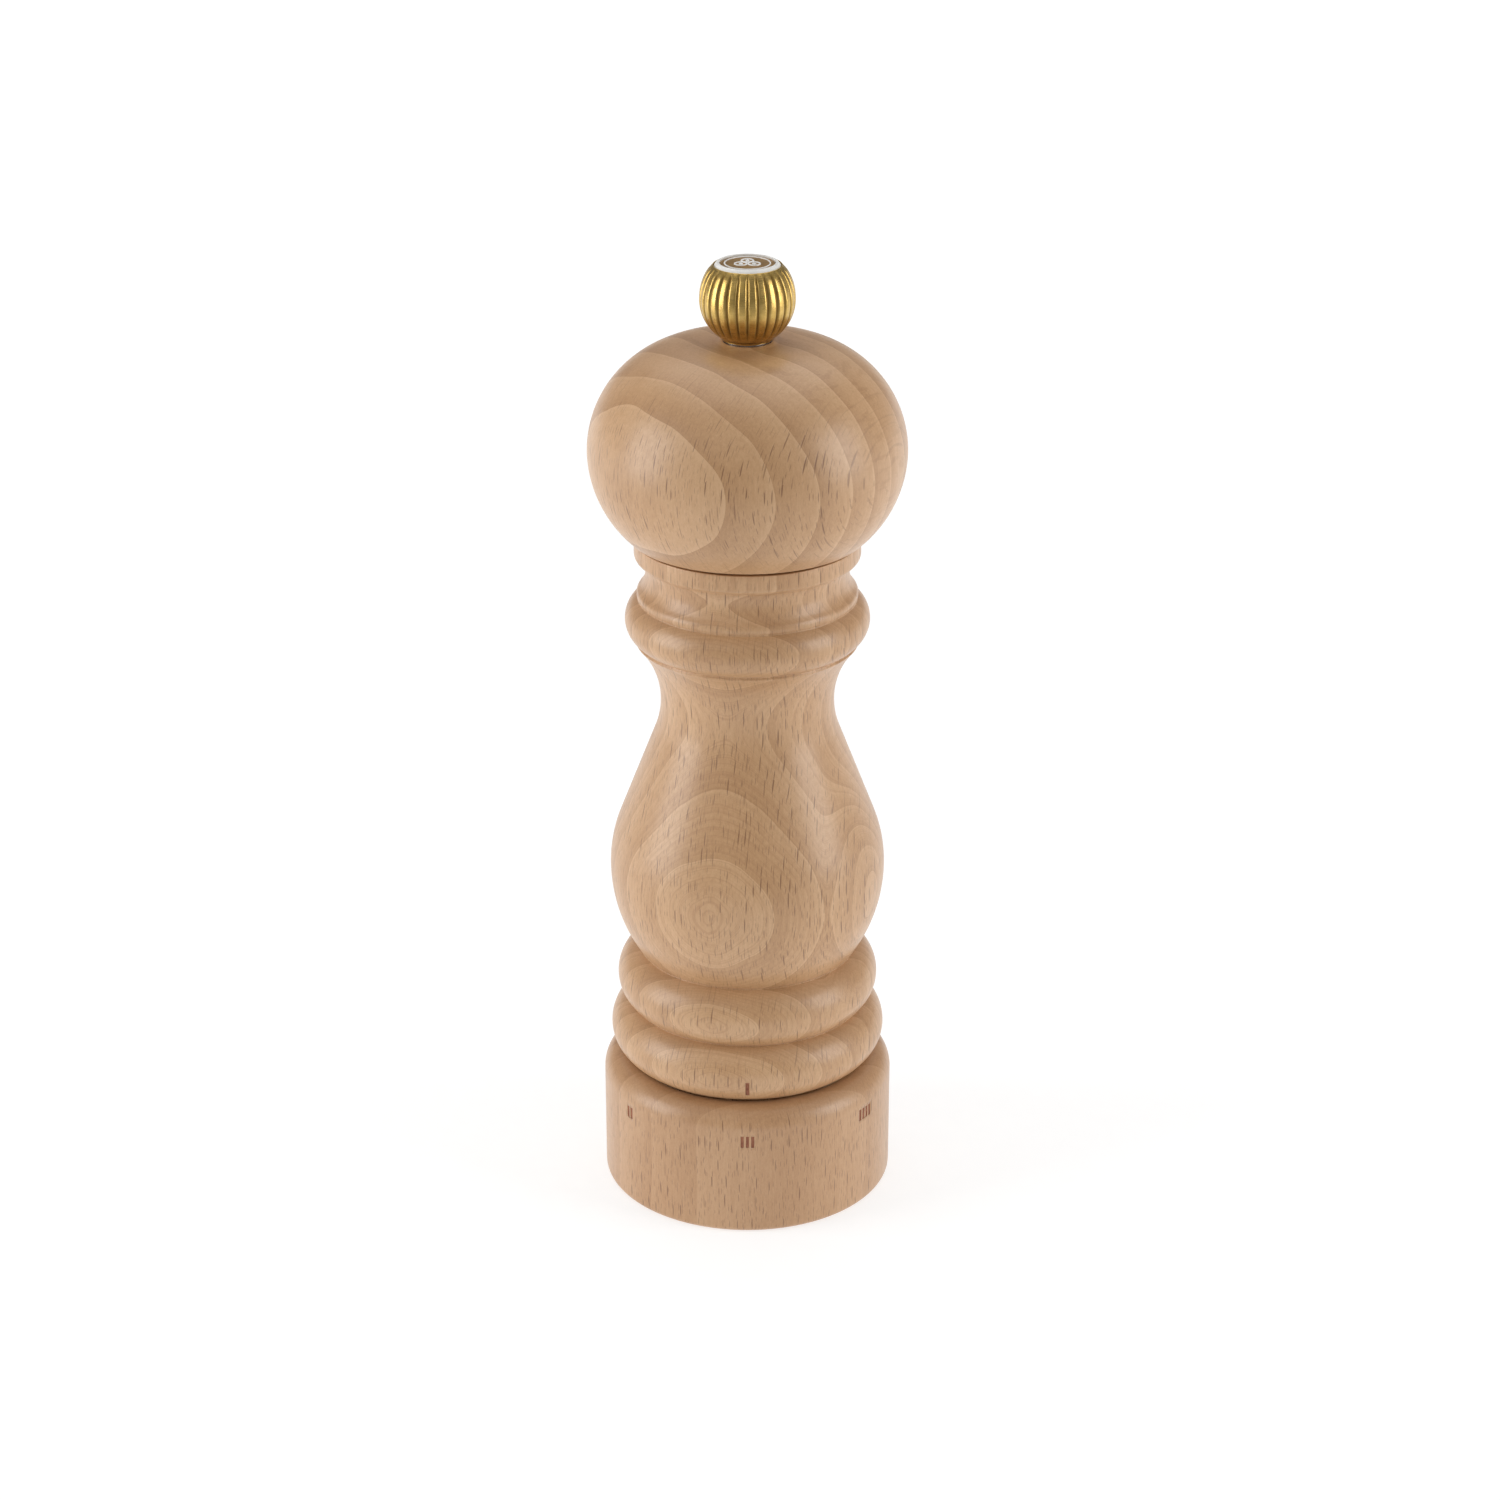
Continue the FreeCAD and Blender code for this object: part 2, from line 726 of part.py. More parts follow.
def screw_cuts(label, circle, angles, radius, bottom, top):
    """Plain holes for a ring of screws."""
    holes = []
    for index, degrees in enumerate(angles):
        x, y = on_circle(circle, degrees)
        hole = cylinder("%s_%d" % (label, index + 1), radius, top - bottom)
        holes.append(stand(hole, x, y, bottom))
    return holes


def screws(label, circle, angles, head_radius, seat, length):
    """Pan-head screws driven upwards from their seat, each with a driver slot."""
    height = size("screw_head_height")
    pieces = []
    for index, degrees in enumerate(angles):
        x, y = on_circle(circle, degrees)
        name = "%s_%d" % (label, index + 1)
        head = stand(cylinder(name + "_head", head_radius, height), x, y, seat - height)
        shank = cylinder(name + "_shank", size("screw_shank_radius"), length)
        stand(shank, x, y, seat)
        whole = joined(name + "_whole", [head, shank])
        width = size("screw_slot_width")
        reach = head_radius + CUT_OVERRUN
        slot = block(name + "_slot", reach * 2, width, size("screw_slot_depth"))
        stand(slot, x - reach, y - width * 0.5, seat - height)
        pieces.append(carved(name, whole, [slot]))
    return grouped(label, pieces)


def housing_sleeve():
    outer = size("housing_radius")
    groove = outer - size("retainer_groove")
    groove_foot = size("retainer_bottom") - face_clearance
    groove_top = retainer_top + face_clearance
    sleeve = turned("housing_sleeve", [
        (housing_bore, size("housing_bottom")),
        (outer, size("housing_bottom")),
        (outer, groove_foot),
        (groove, groove_foot),
        (groove, groove_top),
        (outer, groove_top),
        (outer, flange_foot),
        (flange_radius, flange_foot),
        (flange_radius, flange_top),
        (outer, flange_top),
        (outer, housing_top),
        (housing_bore, housing_top),
    ])
    holes = screw_cuts(
        "flange_hole", flange_circle, flange_screw_angles,
        size("screw_shank_radius") + fixed_clearance, flange_foot, flange_top)
    windows = []
    for name, degrees in (("short", SHORT_LUG_ANGLE), ("long", LONG_LUG_ANGLE)):
        windows.append(radial_block(
            "window_" + name, housing_bore - CUT_OVERRUN, outer + CUT_OVERRUN,
            size("lug_width") + 2 * turn_clearance,
            cam_floor + face_clearance, flange_foot, degrees))
    return carved("housing_sleeve", sleeve, holes + windows)


def barrel_with_pilots():
    pilots = screw_cuts(
        "spigot_pilot", flange_circle, flange_screw_angles,
        size("screw_shank_radius") + fixed_clearance, flange_top,
        flange_foot + size("flange_screw_length") + turn_clearance)
    return carved("barrel", barrel(), pilots)


def upper_bridge():
    """A rim and a hub joined by three spokes, open between them for the corns to fall."""
    outer = size("housing_radius")
    rim_bore = outer - size("bridge_rim")
    hub_radius = hub_bore + size("hub_wall")
    rim = turned("bridge_rim_ring", [
        (rim_bore, housing_top),
        (outer, housing_top),
        (outer, bridge_top),
        (rim_bore, bridge_top),
    ])
    hub = turned("bridge_hub", [
        (hub_bore, housing_top),
        (hub_radius, housing_top),
        (hub_radius, bridge_top),
        (hub_bore, bridge_top),
    ])
    bars = []
    for index, degrees in enumerate(round_the_axis(SPOKES, FIRST_SPOKE)):
        bars.append(radial_block(
            "spoke_%d" % (index + 1), hub_radius - JOIN_OVERLAP, rim_bore + JOIN_OVERLAP,
            size("spoke_width"), housing_top, bridge_top, degrees))
    return joined("upper_bridge", [rim, hub] + bars)


def ring_retainer():
    """An open spring ring in the housing's groove, under the base ring's ledge."""
    bottom = size("retainer_bottom")
    ring = turned("retainer_ring", [
        (retainer_bore, bottom),
        (retainer_radius, bottom),
        (retainer_radius, retainer_top),
        (retainer_bore, retainer_top),
    ])
    opening = radial_block(
        "retainer_gap", retainer_bore - CUT_OVERRUN, retainer_radius + CUT_OVERRUN,
        size("retainer_opening"), bottom, retainer_top, 0.0)
    return carved("ring_retainer", ring, [opening])


def burr_spring():
    """A short coil spring that presses the carrier down on the cam."""
    wire = size("spring_wire_radius")
    middle = carrier_radius - size("carrier_wall") * 0.5
    foot = carrier_top + wire + face_clearance
    rise = housing_top - face_clearance - wire - foot
    coil = doc.addObject("Part::Helix", "spring_path")
    bind(coil, Radius=middle, Height=rise, Pitch=rise / size("spring_turns"))
    stand(coil, 0, 0, foot)
    section = doc.addObject("Part::Circle", "spring_section")
    bind(section, Radius=wire)
    upright = FreeCAD.Rotation(FreeCAD.Vector(1, 0, 0), 90)
    stand(section, middle, 0, foot, upright)
    spring = doc.addObject("Part::Sweep", "burr_spring")
    spring.Sections = [section]
    spring.Spine = (coil, [])
    spring.Solid = True
    spring.Frenet = True
    spring.Label = "burr_spring"
    return spring


# ---------------------------------------------------------------- burrs and their carrier
def burr_carrier():
    """The sleeve that holds the outer burr, with two lugs that ride on the cam."""
    lip_bore = carrier_bore - size("carrier_lip")
    sleeve = turned("carrier_sleeve", [
        (lip_bore, carrier_foot),
        (carrier_radius, carrier_foot),
        (carrier_radius, carrier_top),
        (carrier_bore, carrier_top),
        (carrier_bore, outer_burr_foot),
        (lip_bore, outer_burr_foot),
    ])
    root_radius = carrier_radius - size("carrier_wall") * 0.5
    width = size("lug_width")
    short_lug = radial_block(
        "short_lug", root_radius, cam_middle - face_clearance, width,
        lug_foot, lug_foot + size("lug_height"), SHORT_LUG_ANGLE)
    long_arm = radial_block(
        "long_arm", root_radius, cam_radius - face_clearance, width,
        arm_foot, arm_top, LONG_LUG_ANGLE)
    long_toe = radial_block(
        "long_toe", outer_track + face_clearance, cam_radius - face_clearance, width,
        lug_foot, arm_foot, LONG_LUG_ANGLE)
    return joined("burr_carrier", [sleeve, short_lug, long_arm, long_toe])


def groove_cutters(label, count, radius_low, radius_high, bottom, top, corner, lean):
    """Long square bars leaned round a cone, an edge inwards, each cutting one vee groove."""
    low = radius_low.number
    high = radius_high.number
    rise = (top - bottom).number
    lean_turn = math.radians(lean)
    cutters = []
    for index, degrees in enumerate(round_the_axis(count)):
        first = math.radians(degrees)
        last = first + lean_turn
        start = FreeCAD.Vector(low * math.cos(first), low * math.sin(first), 0)
        end = FreeCAD.Vector(high * math.cos(last), high * math.sin(last), rise)
        way = end - start
        bar = doc.addObject("Part::Prism", "%s_%d" % (label, index + 1))
        bar.Polygon = 4
        bind(bar, Circumradius=corner)
        bar.Height = way.Length
        outward = FreeCAD.Vector(math.cos(first), math.sin(first), 0)
        frame = FreeCAD.Rotation(outward, FreeCAD.Vector(), way, "ZXY")
        x, y = on_circle(radius_low, degrees)
        cutters.append(stand(bar, x, y, bottom, frame))
    return cutters


def burr_grooves(label, low, waist, high, top, coarse_teeth, coarse_size, hand):
    """Fine vee grooves up to the waist and deep ones above it, leaning one way or the other."""
    over = size("tooth_overrun")
    fine = groove_cutters(
        label + "_fine", int(size("fine_teeth").number), low, waist,
        burr_foot - over, burr_waist, size("fine_tooth_size"), hand * FINE_LEAN)
    coarse = groove_cutters(
        label + "_coarse", int(size(coarse_teeth).number), waist, high,
        burr_waist - over, top + over, size(coarse_size), hand * COARSE_LEAN)
    return joined(label + "_grooves", fine + coarse)


def inner_burr():
    """A fluted cone: a few deep flutes above that crack the corns, fine teeth below."""
    cone = turned("burr_cone", [
        (CORE_RADIUS, burr_foot),
        (inner_burr_low, burr_foot),
        (inner_burr_low, burr_band),
        (inner_burr_high, burr_top),
        (CORE_RADIUS, burr_top),
    ])
    hole = square_bar("burr_hole", square_hole, burr_foot, burr_top)
    waist = inner_burr_low - burr_slope * (burr_waist - burr_band)
    grooves = burr_grooves(
        "inner_burr", inner_burr_low, waist, inner_burr_high, burr_top,
        "coarse_teeth", "coarse_tooth_size", 1)
    return carved("inner_burr", cone, [hole, grooves])


def outer_burr():
    """The fixed ring that the cone grinds against, toothed on its inside."""
    mouth = outer_burr_low - burr_slope * (outer_burr_top - burr_band)
    ring = turned("outer_burr_ring", [
        (outer_burr_low, outer_burr_foot),
        (burr_radius, outer_burr_foot),
        (burr_radius, outer_burr_top),
        (mouth, outer_burr_top),
        (outer_burr_low, burr_band),
    ])
    waist = outer_burr_low - burr_slope * (burr_waist - burr_band)
    grooves = burr_grooves(
        "outer_burr", outer_burr_low, waist, mouth, outer_burr_top,
        "outer_coarse_teeth", "outer_coarse_size", -1)
    return carved("outer_burr", ring, [grooves])


def lock_ring():
    """The ring that locks the outer burr in its carrier."""
    bore = burr_radius - size("lock_ring_width")
    return turned("lock_ring", [
        (bore, outer_burr_top),
        (burr_radius, outer_burr_top),
        (burr_radius, carrier_top),
        (bore, carrier_top),
    ])


# ---------------------------------------------------------------- shaft and what turns with it
def drive_shaft():
    square = square_bar("shaft_square", size("shaft_side"), burr_foot, square_top)
    tail = cylinder("shaft_tail_end", size("shaft_end_radius"), size("shaft_tail"))
    stand(tail, 0, 0, burr_foot - size("shaft_tail"))
    screw_end = cylinder("shaft_screw_end", size("shaft_end_radius"), shaft_top - square_top)
    stand(screw_end, 0, 0, square_top)
    return joined("drive_shaft", [square, tail, screw_end])


def burr_nut():
    blank = doc.addObject("Part::Prism", "nut_blank")
    blank.Polygon = 6
    bind(blank, Circumradius=size("nut_radius"), Height=size("nut_height"))
    stand(blank, 0, 0, burr_foot - size("nut_height"))
    hole = cylinder(
        "nut_hole", size("shaft_end_radius") + fixed_clearance, size("nut_height"))
    stand(hole, 0, 0, burr_foot - size("nut_height"))
    return carved("burr_nut", blank, [hole])


def shaft_bush():
    """The brass bush on the square shaft that runs in the bridge's hub."""
    seat = housing_top - face_clearance
    foot = seat - size("bush_flange_thickness")
    top = bridge_top + face_clearance
    rim = bush_radius + size("bush_flange")
    blank = turned("bush_blank", [
        (CORE_RADIUS, foot),
        (rim, foot),
        (rim, seat),
        (bush_radius, seat),
        (bush_radius, top),
        (CORE_RADIUS, top),
    ])
    hole = square_bar("bush_hole", square_hole, foot, top)
    return carved("shaft_bush", blank, [hole])


def shaft_clip():
    """The clip above the hub that keeps the shaft from dropping."""
    foot = bridge_top + face_clearance
    blank = cylinder(
        "clip_blank", bush_radius + size("bush_flange"), size("clip_thickness"))
    stand(blank, 0, 0, foot)
    hole = square_bar("clip_hole", square_hole, foot, foot + size("clip_thickness"))
    return carved("shaft_clip", blank, [hole])


# ---------------------------------------------------------------- head and what is fixed to it
def head():
    blank = turned("head_blank", [
        (head_bore, tenon_foot),
        (tenon_radius, tenon_foot),
        (tenon_radius, head_foot),
        (head_foot_radius, head_foot),
        ("out", size("head_low_round")),
        (size("head_radius"), head_middle),
        ("out", head_upper_round),
        (size("head_flat_radius"), head_top),
        (head_bush_edge + fixed_clearance, head_top),
        (head_bush_edge + fixed_clearance, head_top - size("head_bush_flange")),
        (head_bore, head_top - size("head_bush_flange")),
    ])
    pilots = screw_cuts(
        "tenon_pilot", plate_circle, plate_screw_angles,
        size("screw_shank_radius") + fixed_clearance, tenon_foot,
        plate_foot + size("plate_screw_length") + turn_clearance)
    return carved("head", blank, pilots)


def head_bush():
    """The flanged bush let into the head's top, under the knob."""
    outer = head_bore - fixed_clearance
    bore = size("shaft_end_radius") + turn_clearance
    rim_foot = head_top - size("head_bush_flange")
    return turned("head_bush", [
        (bore, head_top - size("head_bush_length")),
        (outer, head_top - size("head_bush_length")),
        (outer, rim_foot),
        (head_bush_edge, rim_foot),
        (head_bush_edge, head_top),
        (bore, head_top),
    ])


def drive_plate():
    """The plate under the tenon whose square hole turns the shaft."""
    blank = cylinder(
        "plate_blank", tenon_radius - size("plate_setback"), size("plate_thickness"))
    stand(blank, 0, 0, plate_foot)
    side = size("shaft_side") + turn_clearance
    hole = square_bar("plate_square", side, plate_foot, tenon_foot)
    holes = screw_cuts(
        "plate_hole", plate_circle, plate_screw_angles,
        size("screw_shank_radius") + fixed_clearance, plate_foot, tenon_foot)
    return carved("drive_plate", blank, [hole] + holes)


# ---------------------------------------------------------------- knob
def knob():
    """A ball with fine upright ribs, hollow for its insert and open above for the bezel."""
    radius = size("knob_radius")
    low_rise = size("knob_low_rise")
    upper_rise = size("knob_upper_rise")
    shoulder_edge = size("knob_shoulder_radius")
    bore = insert_radius + fixed_clearance
    foot_radius = bore + size("knob_foot_wall")
    seat = bezel_radius + fixed_clearance
    ball = turned("knob_ball", [
        (bore, knob_foot),
        (foot_radius, knob_foot),
        (foot_radius, knob_swell),
        ("out", round_beside(low_rise, radius - foot_radius)),
        (radius, knob_middle),
        ("out", round_beside(upper_rise, radius - shoulder_edge)),
        (shoulder_edge, knob_shoulder),
        (seat, knob_rim),
        (seat, bezel_foot),
        (bore, bezel_foot),
    ])
    ribs = []
    for index, degrees in enumerate(round_the_axis(int(size("knob_ribs").number))):
        flute = doc.addObject("Part::Torus", "knob_flute_%d" % (index + 1))
        bind(flute,
             Radius1=radius + size("knob_flute_radius") - size("knob_flute_depth"),
             Radius2=size("knob_flute_radius"))
        flute.Angle3 = FLUTE_SWEEP
        upright = FreeCAD.Rotation(FreeCAD.Vector(1, 0, 0), 90)
        start = FreeCAD.Rotation(FreeCAD.Vector(0, 1, 0), -FLUTE_START)
        round_axis = FreeCAD.Rotation(FreeCAD.Vector(0, 0, 1), degrees)
        stand(flute, 0, 0, knob_middle, round_axis * start * upright)
        ribs.append(flute)
    return carved("knob", ball, ribs)


def knob_insert():
    """The threaded bush pressed into the knob, a plain bore standing for its thread."""
    return turned("knob_insert", [
        (insert_bore, knob_foot),
        (insert_radius, knob_foot),
        (insert_radius, insert_top),
        (0, insert_top),
        (0, insert_roof),
        (insert_bore, insert_roof),
    ])


def knob_bezel():
    """The pale bevelled ring round the knob's disc."""
    return turned("knob_bezel", [
        (bezel_bore, bezel_foot),
        (bezel_radius, bezel_foot),
        (bezel_radius, knob_rim),
        (bezel_bore + size("knob_bezel_crest"), knob_top),
        (bezel_bore, knob_top),
    ])


def knob_disc():
    """The small disc in the knob's top."""
    return turned("knob_disc", [
        (0, bezel_foot),
        (size("knob_disc_radius"), bezel_foot),
        (size("knob_disc_radius"), knob_top - size("knob_disc_setback")),
        (0, knob_top - size("knob_disc_setback")),
    ])


def knob_washer():
    """The loose washer between the knob and the head's bush."""
    bore = size("shaft_end_radius") + turn_clearance
    return turned("knob_washer", [
        (bore, washer_foot),
        (size("washer_radius"), washer_foot),
        (size("washer_radius"), washer_foot + size("washer_thickness")),
        (bore, washer_foot + size("washer_thickness")),
    ])


# ---------------------------------------------------------------- the assembly
pieces = [
    base_ring(),
    ring_liner(),
    cam_ring(),
    barrel_with_pilots(),
    housing_sleeve(),
    upper_bridge(),
    ring_retainer(),
    screws("housing_screws", flange_circle, flange_screw_angles,
           size("flange_screw_head"), flange_foot, size("flange_screw_length")),
    burr_spring(),
    burr_carrier(),
    outer_burr(),
    lock_ring(),
    drive_shaft(),
    inner_burr(),
    burr_nut(),
    shaft_bush(),
    shaft_clip(),
    head(),
    head_bush(),
    drive_plate(),
    screws("plate_screws", plate_circle, plate_screw_angles,
           size("screw_head_radius"), plate_foot, size("plate_screw_length")),
    knob_washer(),
    knob(),
    knob_insert(),
    knob_bezel(),
    knob_disc(),
]
doc.recompute()

for item in doc.Objects:
    for trouble in ("Invalid", "Error"):
        if trouble in item.State:
            raise RuntimeError("%s is %s" % (item.Label, trouble))
for piece in pieces:
    if piece.Shape.isNull() or not piece.Shape.isValid():
        raise RuntimeError("%s has no valid shape" % piece.Label)
    if piece.Shape.Volume <= 0 or not piece.Shape.Solids:
        raise RuntimeError("%s has no solid" % piece.Label)

os.makedirs("parts", exist_ok=True)
for piece in pieces:
    piece.Shape.exportStep("parts/%s.step" % piece.Label)
    box = piece.Shape.BoundBox
    print("%-16s %2d solid(s) %9.1f mm3  z %7.2f to %7.2f  r %6.2f" % (
        piece.Label, len(piece.Shape.Solids), piece.Shape.Volume,
        box.ZMin, box.ZMax, max(box.XMax, box.YMax)))
print("whole height %.2f mm" % max(piece.Shape.BoundBox.ZMax for piece in pieces))
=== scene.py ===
# %% [markdown]
# # A turned beech pepper mill
#
# The mill is a barrel, a ball-shaped head and a base ring, all turned in beech, with a ribbed gilt
# knob on top and a small steel grinding works inside. The packed CAD model is loaded first as a
# fixed frame. What is turned in wood, and the knob, are then made again as fine meshes that stand
# where their CAD solids stand, because a lathe outline spun in many small steps shades far better
# than a CAD mesh, and can have softer edges. So is the spring, which changes its length. The rest
# of the works keep their CAD shapes and only get finishes.

# %% load the frame
import json
import math

import bpy
import bmesh
import numpy as np
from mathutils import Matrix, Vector


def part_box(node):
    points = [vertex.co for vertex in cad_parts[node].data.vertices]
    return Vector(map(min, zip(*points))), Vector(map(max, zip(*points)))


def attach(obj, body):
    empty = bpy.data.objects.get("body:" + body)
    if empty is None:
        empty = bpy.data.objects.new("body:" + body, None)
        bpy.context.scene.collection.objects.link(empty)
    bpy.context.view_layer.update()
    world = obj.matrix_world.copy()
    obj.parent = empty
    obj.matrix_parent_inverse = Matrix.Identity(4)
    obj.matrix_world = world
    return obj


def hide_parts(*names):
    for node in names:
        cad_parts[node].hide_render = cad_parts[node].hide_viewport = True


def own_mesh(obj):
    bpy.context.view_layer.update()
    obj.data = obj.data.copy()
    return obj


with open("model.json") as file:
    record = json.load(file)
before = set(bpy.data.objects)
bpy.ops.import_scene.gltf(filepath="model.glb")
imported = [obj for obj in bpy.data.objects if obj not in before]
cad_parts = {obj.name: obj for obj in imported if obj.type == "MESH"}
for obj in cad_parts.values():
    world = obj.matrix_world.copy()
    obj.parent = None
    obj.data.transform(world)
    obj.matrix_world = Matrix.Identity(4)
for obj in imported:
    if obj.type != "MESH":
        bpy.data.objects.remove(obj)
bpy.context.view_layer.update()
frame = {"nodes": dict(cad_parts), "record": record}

MM = 0.001
nodes = frame["nodes"]

# %% [markdown]
# ## Outlines for the lathe
#
# Turned work is drawn as half an outline: a list of corners, each a radius and a height. Between
# two corners the wood is either straight or a piece of a circle. The circle could be given by its
# centre, but a turner thinks in how far a bead stands out, so here an arc is given by its swell,
# the distance it rises over the straight line. A negative swell makes a hollow.

# %% outline tools
def bow(start, end, swell, step=0.3):
    """Points after start and up to end, along the circle that rises by swell to the outside."""
    start = np.array(start, float)
    end = np.array(end, float)
    chord = end - start
    length = np.hypot(*chord)
    radius = (length * length / 4 + swell * swell) / (2 * abs(swell))
    outward = np.array([chord[1], -chord[0]]) / length
    side = 1 if swell > 0 else -1
    centre = (start + end) / 2 - outward * side * (radius - abs(swell))
    first = math.atan2(*(start - centre)[::-1])
    last = math.atan2(*(end - centre)[::-1])
    turn = (last - first + math.pi) % (2 * math.pi) - math.pi
    count = max(3, int(abs(turn) * radius / step))
    angles = first + turn * np.arange(1, count + 1) / count
    return [tuple(centre + radius * np.array([math.cos(a), math.sin(a)])) for a in angles]


def swell_of(radius, start, end):
    """How far an arc of that radius rises over the line between two corners."""
    half = math.dist(start, end) / 2
    return radius - math.sqrt(radius * radius - half * half)


def straight(start, end, step=1.2):
    count = max(1, int(math.dist(start, end) / step))
    return [tuple(np.array(start) + (np.array(end) - start) * (k + 1) / count)
            for k in range(count)]


def trace(corners):
    """A fine outline from corners (radius, height) or (radius, height, swell of the way there)."""
    points = [tuple(corners[0][:2])]
    for corner in corners[1:]:
        if len(corner) == 3:
            points += bow(points[-1], corner[:2], corner[2])
        else:
            points += straight(points[-1], corner)
    return points


print("an arc 10 long that rises by 2 has", len(bow((0, 0), (0, 10), 2)), "points")

# %% [markdown]
# ## Rounding the corners
#
# No real edge is sharp: sanding leaves a tenth of a millimetre or more, and that small round is
# what catches the light. A bevel modifier could do it after the spin, but on a lathe outline it is
# simpler and cleaner to round the outline itself. Each corner that turns by more than a few
# degrees is replaced by a short curve.

# %% round the corners of an outline
OUTSIDE = 17.2                   # a radius that only the barrel's outside passes, but not its neck


def eased(points, size, softer=(), sharp=12.0):
    """The closed outline with each sharp corner replaced by a short curve of about that size.

    softer lists (lowest height, highest height, size) for outside corners worn rounder.
    """
    result = []
    count = len(points)
    for k in range(count):
        before, here, after = (np.array(points[(k + d) % count]) for d in (-1, 0, 1))
        a = before - here
        b = after - here
        la, lb = np.hypot(*a), np.hypot(*b)
        if la < 1e-6 or lb < 1e-6:
            continue
        bend = 180 - math.degrees(math.acos(np.clip(a @ b / (la * lb), -1, 1)))
        if bend < sharp:
            result.append(tuple(here))
            continue
        reach = size
        for low, high, more in softer:
            if low < here[1] < high and here[0] > OUTSIDE:
                reach = more
        start = here + a / la * min(reach, la * 0.48)
        end = here + b / lb * min(reach, lb * 0.48)
        for t in np.linspace(0, 1, 5):
            result.append(tuple((1 - t) ** 2 * start + 2 * t * (1 - t) * here + t * t * end))
    return result


print("a square's four corners become", len(eased([(0, 0), (1, 0), (1, 1), (0, 1)], 0.1)), "points")

# %% [markdown]
# ## Spinning an outline
#
# Blender has a Screw modifier and a Spin operator for this. Writing the vertices directly is as
# short, leaves no seam, and lets the radius change with the angle, which the ribbed knob needs
# later. The outline is closed, so the result is a solid with its bores, not a skin.

# %% spin an outline into a mesh
def spin(name, outline, segments=256, radius_at=None):
    """A closed solid of revolution in metres. radius_at(angle, radius, height) may shape it."""
    ring = np.array(outline)
    angles = np.arange(segments) * 2 * math.pi / segments
    radius = np.repeat(ring[None, :, 0], segments, 0)
    height = np.repeat(ring[None, :, 1], segments, 0)
    if radius_at is not None:
        radius = radius_at(angles[:, None], radius, height)
    x = radius * np.cos(angles)[:, None]
    y = radius * np.sin(angles)[:, None]
    verts = np.stack([x, y, height], -1).reshape(-1, 3) * MM
    count = len(ring)
    seg, row = np.meshgrid(np.arange(segments), np.arange(count), indexing="ij")
    next_seg = (seg + 1) % segments
    next_row = (row + 1) % count
    faces = np.stack([seg * count + row, next_seg * count + row,
                      next_seg * count + next_row, seg * count + next_row], -1)
    mesh = bpy.data.meshes.new(name)
    mesh.from_pydata(verts.tolist(), [], faces.reshape(-1, 4).tolist())
    bm = bmesh.new()
    bm.from_mesh(mesh)
    bmesh.ops.remove_doubles(bm, verts=bm.verts, dist=1e-7)
    bmesh.ops.recalc_face_normals(bm, faces=bm.faces)
    bm.to_mesh(mesh)
    bm.free()
    mesh.shade_smooth()
    piece = bpy.data.objects.new(name, mesh)
    bpy.context.scene.collection.objects.link(piece)
    print(name, "has", len(mesh.vertices), "vertices")
    return piece


# %% [markdown]
# ## Writing materials
#
# A material is a tree of nodes. Adding nodes by hand in code gets long, so one helper adds a node,
# sets its options and fills or links its inputs in one call, and a second does arithmetic.

# %% node helpers
class Finish:
    """A material under construction: its node tree and its main shader."""

    def __init__(self, name):
        self.material = bpy.data.materials.new(name)
        self.material.use_nodes = True
        self.tree = self.material.node_tree
        self.shader = self.tree.nodes["Principled BSDF"]

    def add(self, kind, inputs=(), **options):
        node = self.tree.nodes.new("ShaderNode" + kind)
        for key, value in options.items():
            setattr(node, key, value)
        for key, value in dict(inputs).items():
            self.feed(node.inputs[key], value)
        return node

    def feed(self, socket, value):
        if isinstance(value, bpy.types.NodeSocket):
            self.tree.links.new(value, socket)
        else:
            socket.default_value = value

    def calc(self, operation, *values, clamp=False):
        node = self.add("Math", operation=operation, use_clamp=clamp)
        for socket, value in zip(node.inputs, values):
            self.feed(socket, value)
        return node.outputs[0]

    def vector(self, operation, *values):
        node = self.add("VectorMath", operation=operation)
        for socket, value in zip(node.inputs, values):
            self.feed(socket, value)
        return node

    def scaled(self, vector, factors):
        return self.vector("MULTIPLY", vector, factors).outputs[0]

    def mix(self, factor, first, second, blend="MIX"):
        node = self.add("Mix", data_type="RGBA", blend_type=blend)
        self.feed(node.inputs[0], factor)
        self.feed(node.inputs[6], first)
        self.feed(node.inputs[7], second)
        return node.outputs[2]

    def noise(self, vector, scale, detail=2.0, rough=0.5):
        return self.add("TexNoise", {"Vector": vector, "Scale": scale, "Detail": detail,
                                     "Roughness": rough})

    def ramp(self, value, low, high, to_low=0.0, to_high=1.0, smooth=True):
        node = self.add("MapRange", {"Value": value, "From Min": low, "From Max": high,
                                     "To Min": to_low, "To Max": to_high})
        node.interpolation_type = "SMOOTHSTEP" if smooth else "LINEAR"
        return node.outputs[0]

    def set(self, **values):
        """Shader inputs by name, with underscores for spaces."""
        for key, value in values.items():
            self.feed(self.shader.inputs[key.replace("_", " ")], value)


def rgb(red, green, blue):
    return (red, green, blue, 1.0)


print("a finish is built with:", ", ".join(n for n in vars(Finish) if not n.startswith("_")))

# %% [markdown]
# ## Beech: a place in the log
#
# Beech is a pinkish tan wood with three things in it: growth rings, rays and very fine pores. An
# image could be wrapped round, but it would not line up at the ends and in the coves. So the wood
# here is solid, as in a real turning: every point's place in the log gives its colour. The place
# is a depth from the tree's pith, a way round it and a height along it. The grain wanders a
# little, slowly along the log and faster across it, and a small knot can push the rings aside.

# %% a point's place in the log
WANDER = 5.5                     # how far the grain strays, in mm
RIPPLE = 0.45
HALF = (0.5, 0.5, 0.5)


